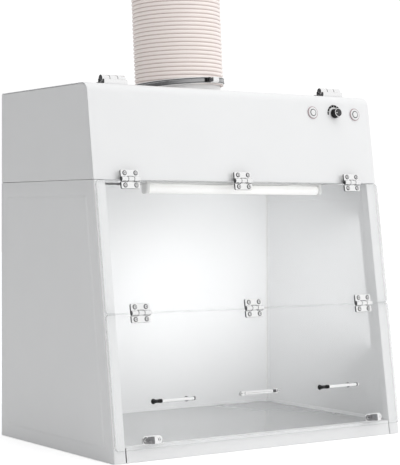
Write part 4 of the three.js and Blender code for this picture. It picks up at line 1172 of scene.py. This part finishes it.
def switch(use):
    """A metal push switch: a rubber ring under a dished bezel, a dark ring in the groove round the button as
    painted shade, and the barrel behind the panel, all turned about the same axis."""
    node = f"{use}_switch_body"
    x = middle(node)[0]
    place = on_front(x, 0, control_up)
    ring = [(9.6, 0.25), (11.0, 0.3), (11.25, 0.8), (11.0, 1.5), (9.6, 1.5)]
    bezel = [(6.35, -6), (6.35, 1.9), (6.6, 2.3), (7.2, 2.55), (8.6, 2.6), (9.5, 2.4), (9.9, 1.9), (9.9, 0.5),
             (9.0, 0.3), (9.0, -24), (6.35, -24)]
    gasket = turned(np.array(ring) * MM, place, sides=96, loop=True)
    body = turned(np.array(bezel) * MM, place, sides=96, loop=True)
    dress(build(f"{use}_switch_bezel", [body], sharp=45), [SWITCH_METAL], [node])
    attach(build(f"{use}_switch_gasket", [gasket], sharp=60), RUBBER, node)
    groove = [(5.25, 2.1), (6.25, 2.1), (6.25, 2.5), (5.9, 2.7), (5.25, 2.6)]
    # A dark ring in the groove round the button: painted shade.
    dress(build(f"{use}_switch_groove_painted_shade", [turned(np.array(groove) * MM, place, sides=96, loop=True)], sharp=60),
          [PAINTED_SHADE_METAL], body=f"{use}_button")
    cap = [(0, -3.3), (5.0, -3.3), (5.2, -3.0), (5.2, 2.6), (5.0, 2.9), (4.5, 3.05), (2.6, 2.9), (0.05, 2.75)]
    dress(build(f"{use}_button_cap", [turned(np.array(cap) * MM, place, sides=72)], sharp=45), [SWITCH_METAL],
          [f"{use}_button"])


def make_knob():
    """A fluted knob: its radius dips by a power of a cosine 24 times round, only along the grip. A bright
    ring and a dark face close it, with a pointer line."""
    place = on_front(middle("speed_knob")[0], 0, control_up)
    profile = np.array([(0, 0.8), (8.2, 0.8), (8.7, 1.3), (8.7, 2.4), (8.4, 2.9), (8.25, 3.5), (8.2, 8),
                        (8.15, 11.6), (7.9, 12.1), (7.4, 12.2), (0, 12.2)]) * MM
    grip = np.array([0, 0, 0, 0, 0.4, 1, 1, 1, 0.3, 0, 0])[:, None]

    def flutes(turn):
        """How far each ring's radius dips round the turn."""
        return -0.38 * MM * grip * (0.5 - 0.5 * np.cos(KNOB_FLUTES * turn)) ** 1.5
    grip_shell = turned(profile, place, sides=240, ribs=flutes)
    piece = build("knob_grip", [grip_shell], sharp=50)
    dress(piece, [BLACK_PLASTIC], ["speed_knob"])
    ring = [(7.0, 12.1), (7.75, 12.1), (7.95, 12.3), (7.85, 12.75), (7.4, 12.95), (7.0, 12.8)]
    dress(build("knob_ring", [turned(np.array(ring) * MM, place, sides=96, loop=True)], sharp=60), [CHROME],
          body="speed_knob")
    face = [(0, 12.0), (7.0, 12.0), (7.1, 12.5), (6.6, 12.75), (3.0, 12.6), (0.05, 12.55)]
    dress(build("knob_face", [turned(np.array(face) * MM, place, sides=72)], sharp=45), [KNOB_FACE],
          body="speed_knob")
    swing = math.radians(SCALE_START - 90)

    def aimed(points):
        """Turns the upright pointer about the knob's axis, to aim at the scale's first mark at rest."""
        x, out, z = np.moveaxis(points, -1, 0)
        return place(np.stack([x * math.cos(swing) - z * math.sin(swing), out,
                               x * math.sin(swing) + z * math.cos(swing)], -1))
    pointer = slab((-0.45 * MM, 0.45 * MM), (2.2 * MM, 6.4 * MM), [0.3 * MM] * 4, (12.55 * MM, 12.85 * MM),
                   0.1 * MM, aimed, steps=3)
    dress(build("knob_pointer", [pointer]), [WHITE_PLASTIC], body="speed_knob")


def make_scale():
    """A printed scale round the knob: thin ring sectors whose width grows with the turn."""
    place = on_front(middle("speed_knob")[0], 0.02 * MM, control_up)
    step = (SCALE_END - SCALE_START) / SCALE_MARKS
    shells = []
    for index in range(SCALE_MARKS):
        start = SCALE_START + step * index
        turn = np.radians(np.linspace(start, start + 0.88 * step, 12))
        width = (2.9 + 2.4 * (index + np.linspace(0, 0.84, 12)) / SCALE_MARKS) * MM
        rings = []
        for side_of, out in ((-1, 0), (1, 0), (1, 0.16 * MM), (-1, 0.16 * MM)):
            radius = SCALE_RADIUS + side_of * width / 2
            rings.append(np.stack([radius * np.cos(turn), np.full(12, out), radius * np.sin(turn)], -1))
        shells.append(capped(place(np.array(rings).transpose(1, 0, 2))))
    dress(build("speed_scale", shells), [INK], body="front_cover")


for use in ("light", "fan"):
    switch(use)
make_knob()
make_scale()

# ---- lamp --------------------------------------------------------------------------------
def make_lamp():
    """A slim batten lamp: a D-shaped diffuser between two rounded end caps under a folded channel."""
    low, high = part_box("lamp_tube")
    centre = (np.array(low) + np.array(high)) / 2
    place = on_axes(centre)
    half = (high.x - low.x) / 2 / MM
    section = [(0, -half), (7.2, -half), (7.7, -half + 0.5), (7.75, 0), (7.7, half - 0.5), (7.2, half),
               (0, half)]
    tube = turned(np.array(section) * MM, place, sides=64, axis="across")
    dress(build("lamp_diffuser", [tube], sharp=50), [LAMP], ["lamp_tube"])
    channel_low, channel_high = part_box("lamp_batten")
    shells = [slab((channel_low.x, channel_high.x), (-9 * MM, 9 * MM), [1 * MM] * 4, (0, 6.8 * MM), 0.8 * MM,
                   on_axes([0, centre[1], channel_high.z - 6.8 * MM], out=(0, 0, 1), up=(0, -1, 0)), steps=3)]
    for edge, turn in ((channel_low.x, 1), (channel_high.x, -1)):
        cap = on_axes([edge, centre[1], centre[2]], across=(0, 1, 0), out=(turn, 0, 0))
        shells.append(slab((-9 * MM, 9 * MM), (-8.6 * MM, 9 * MM), [5 * MM, 5 * MM, 1 * MM, 1 * MM],
                           (0, 7 * MM), 1.2 * MM, cap, back_fillet=2.6 * MM))
    dress(build("lamp_fitting", shells, sharp=45), [WHITE_PLASTIC], ["lamp_batten"])


make_lamp()

# ---- fan ---------------------------------------------------------------------------------
for node, (radius, material) in {"fan_motor": (0.8, GALVANISED), "fan_rotor": (0.4, BLACK_PLASTIC),
                                 "fan_shell": (0.4, BLACK_PLASTIC)}.items():
    softened(node, radius * MM, [material])
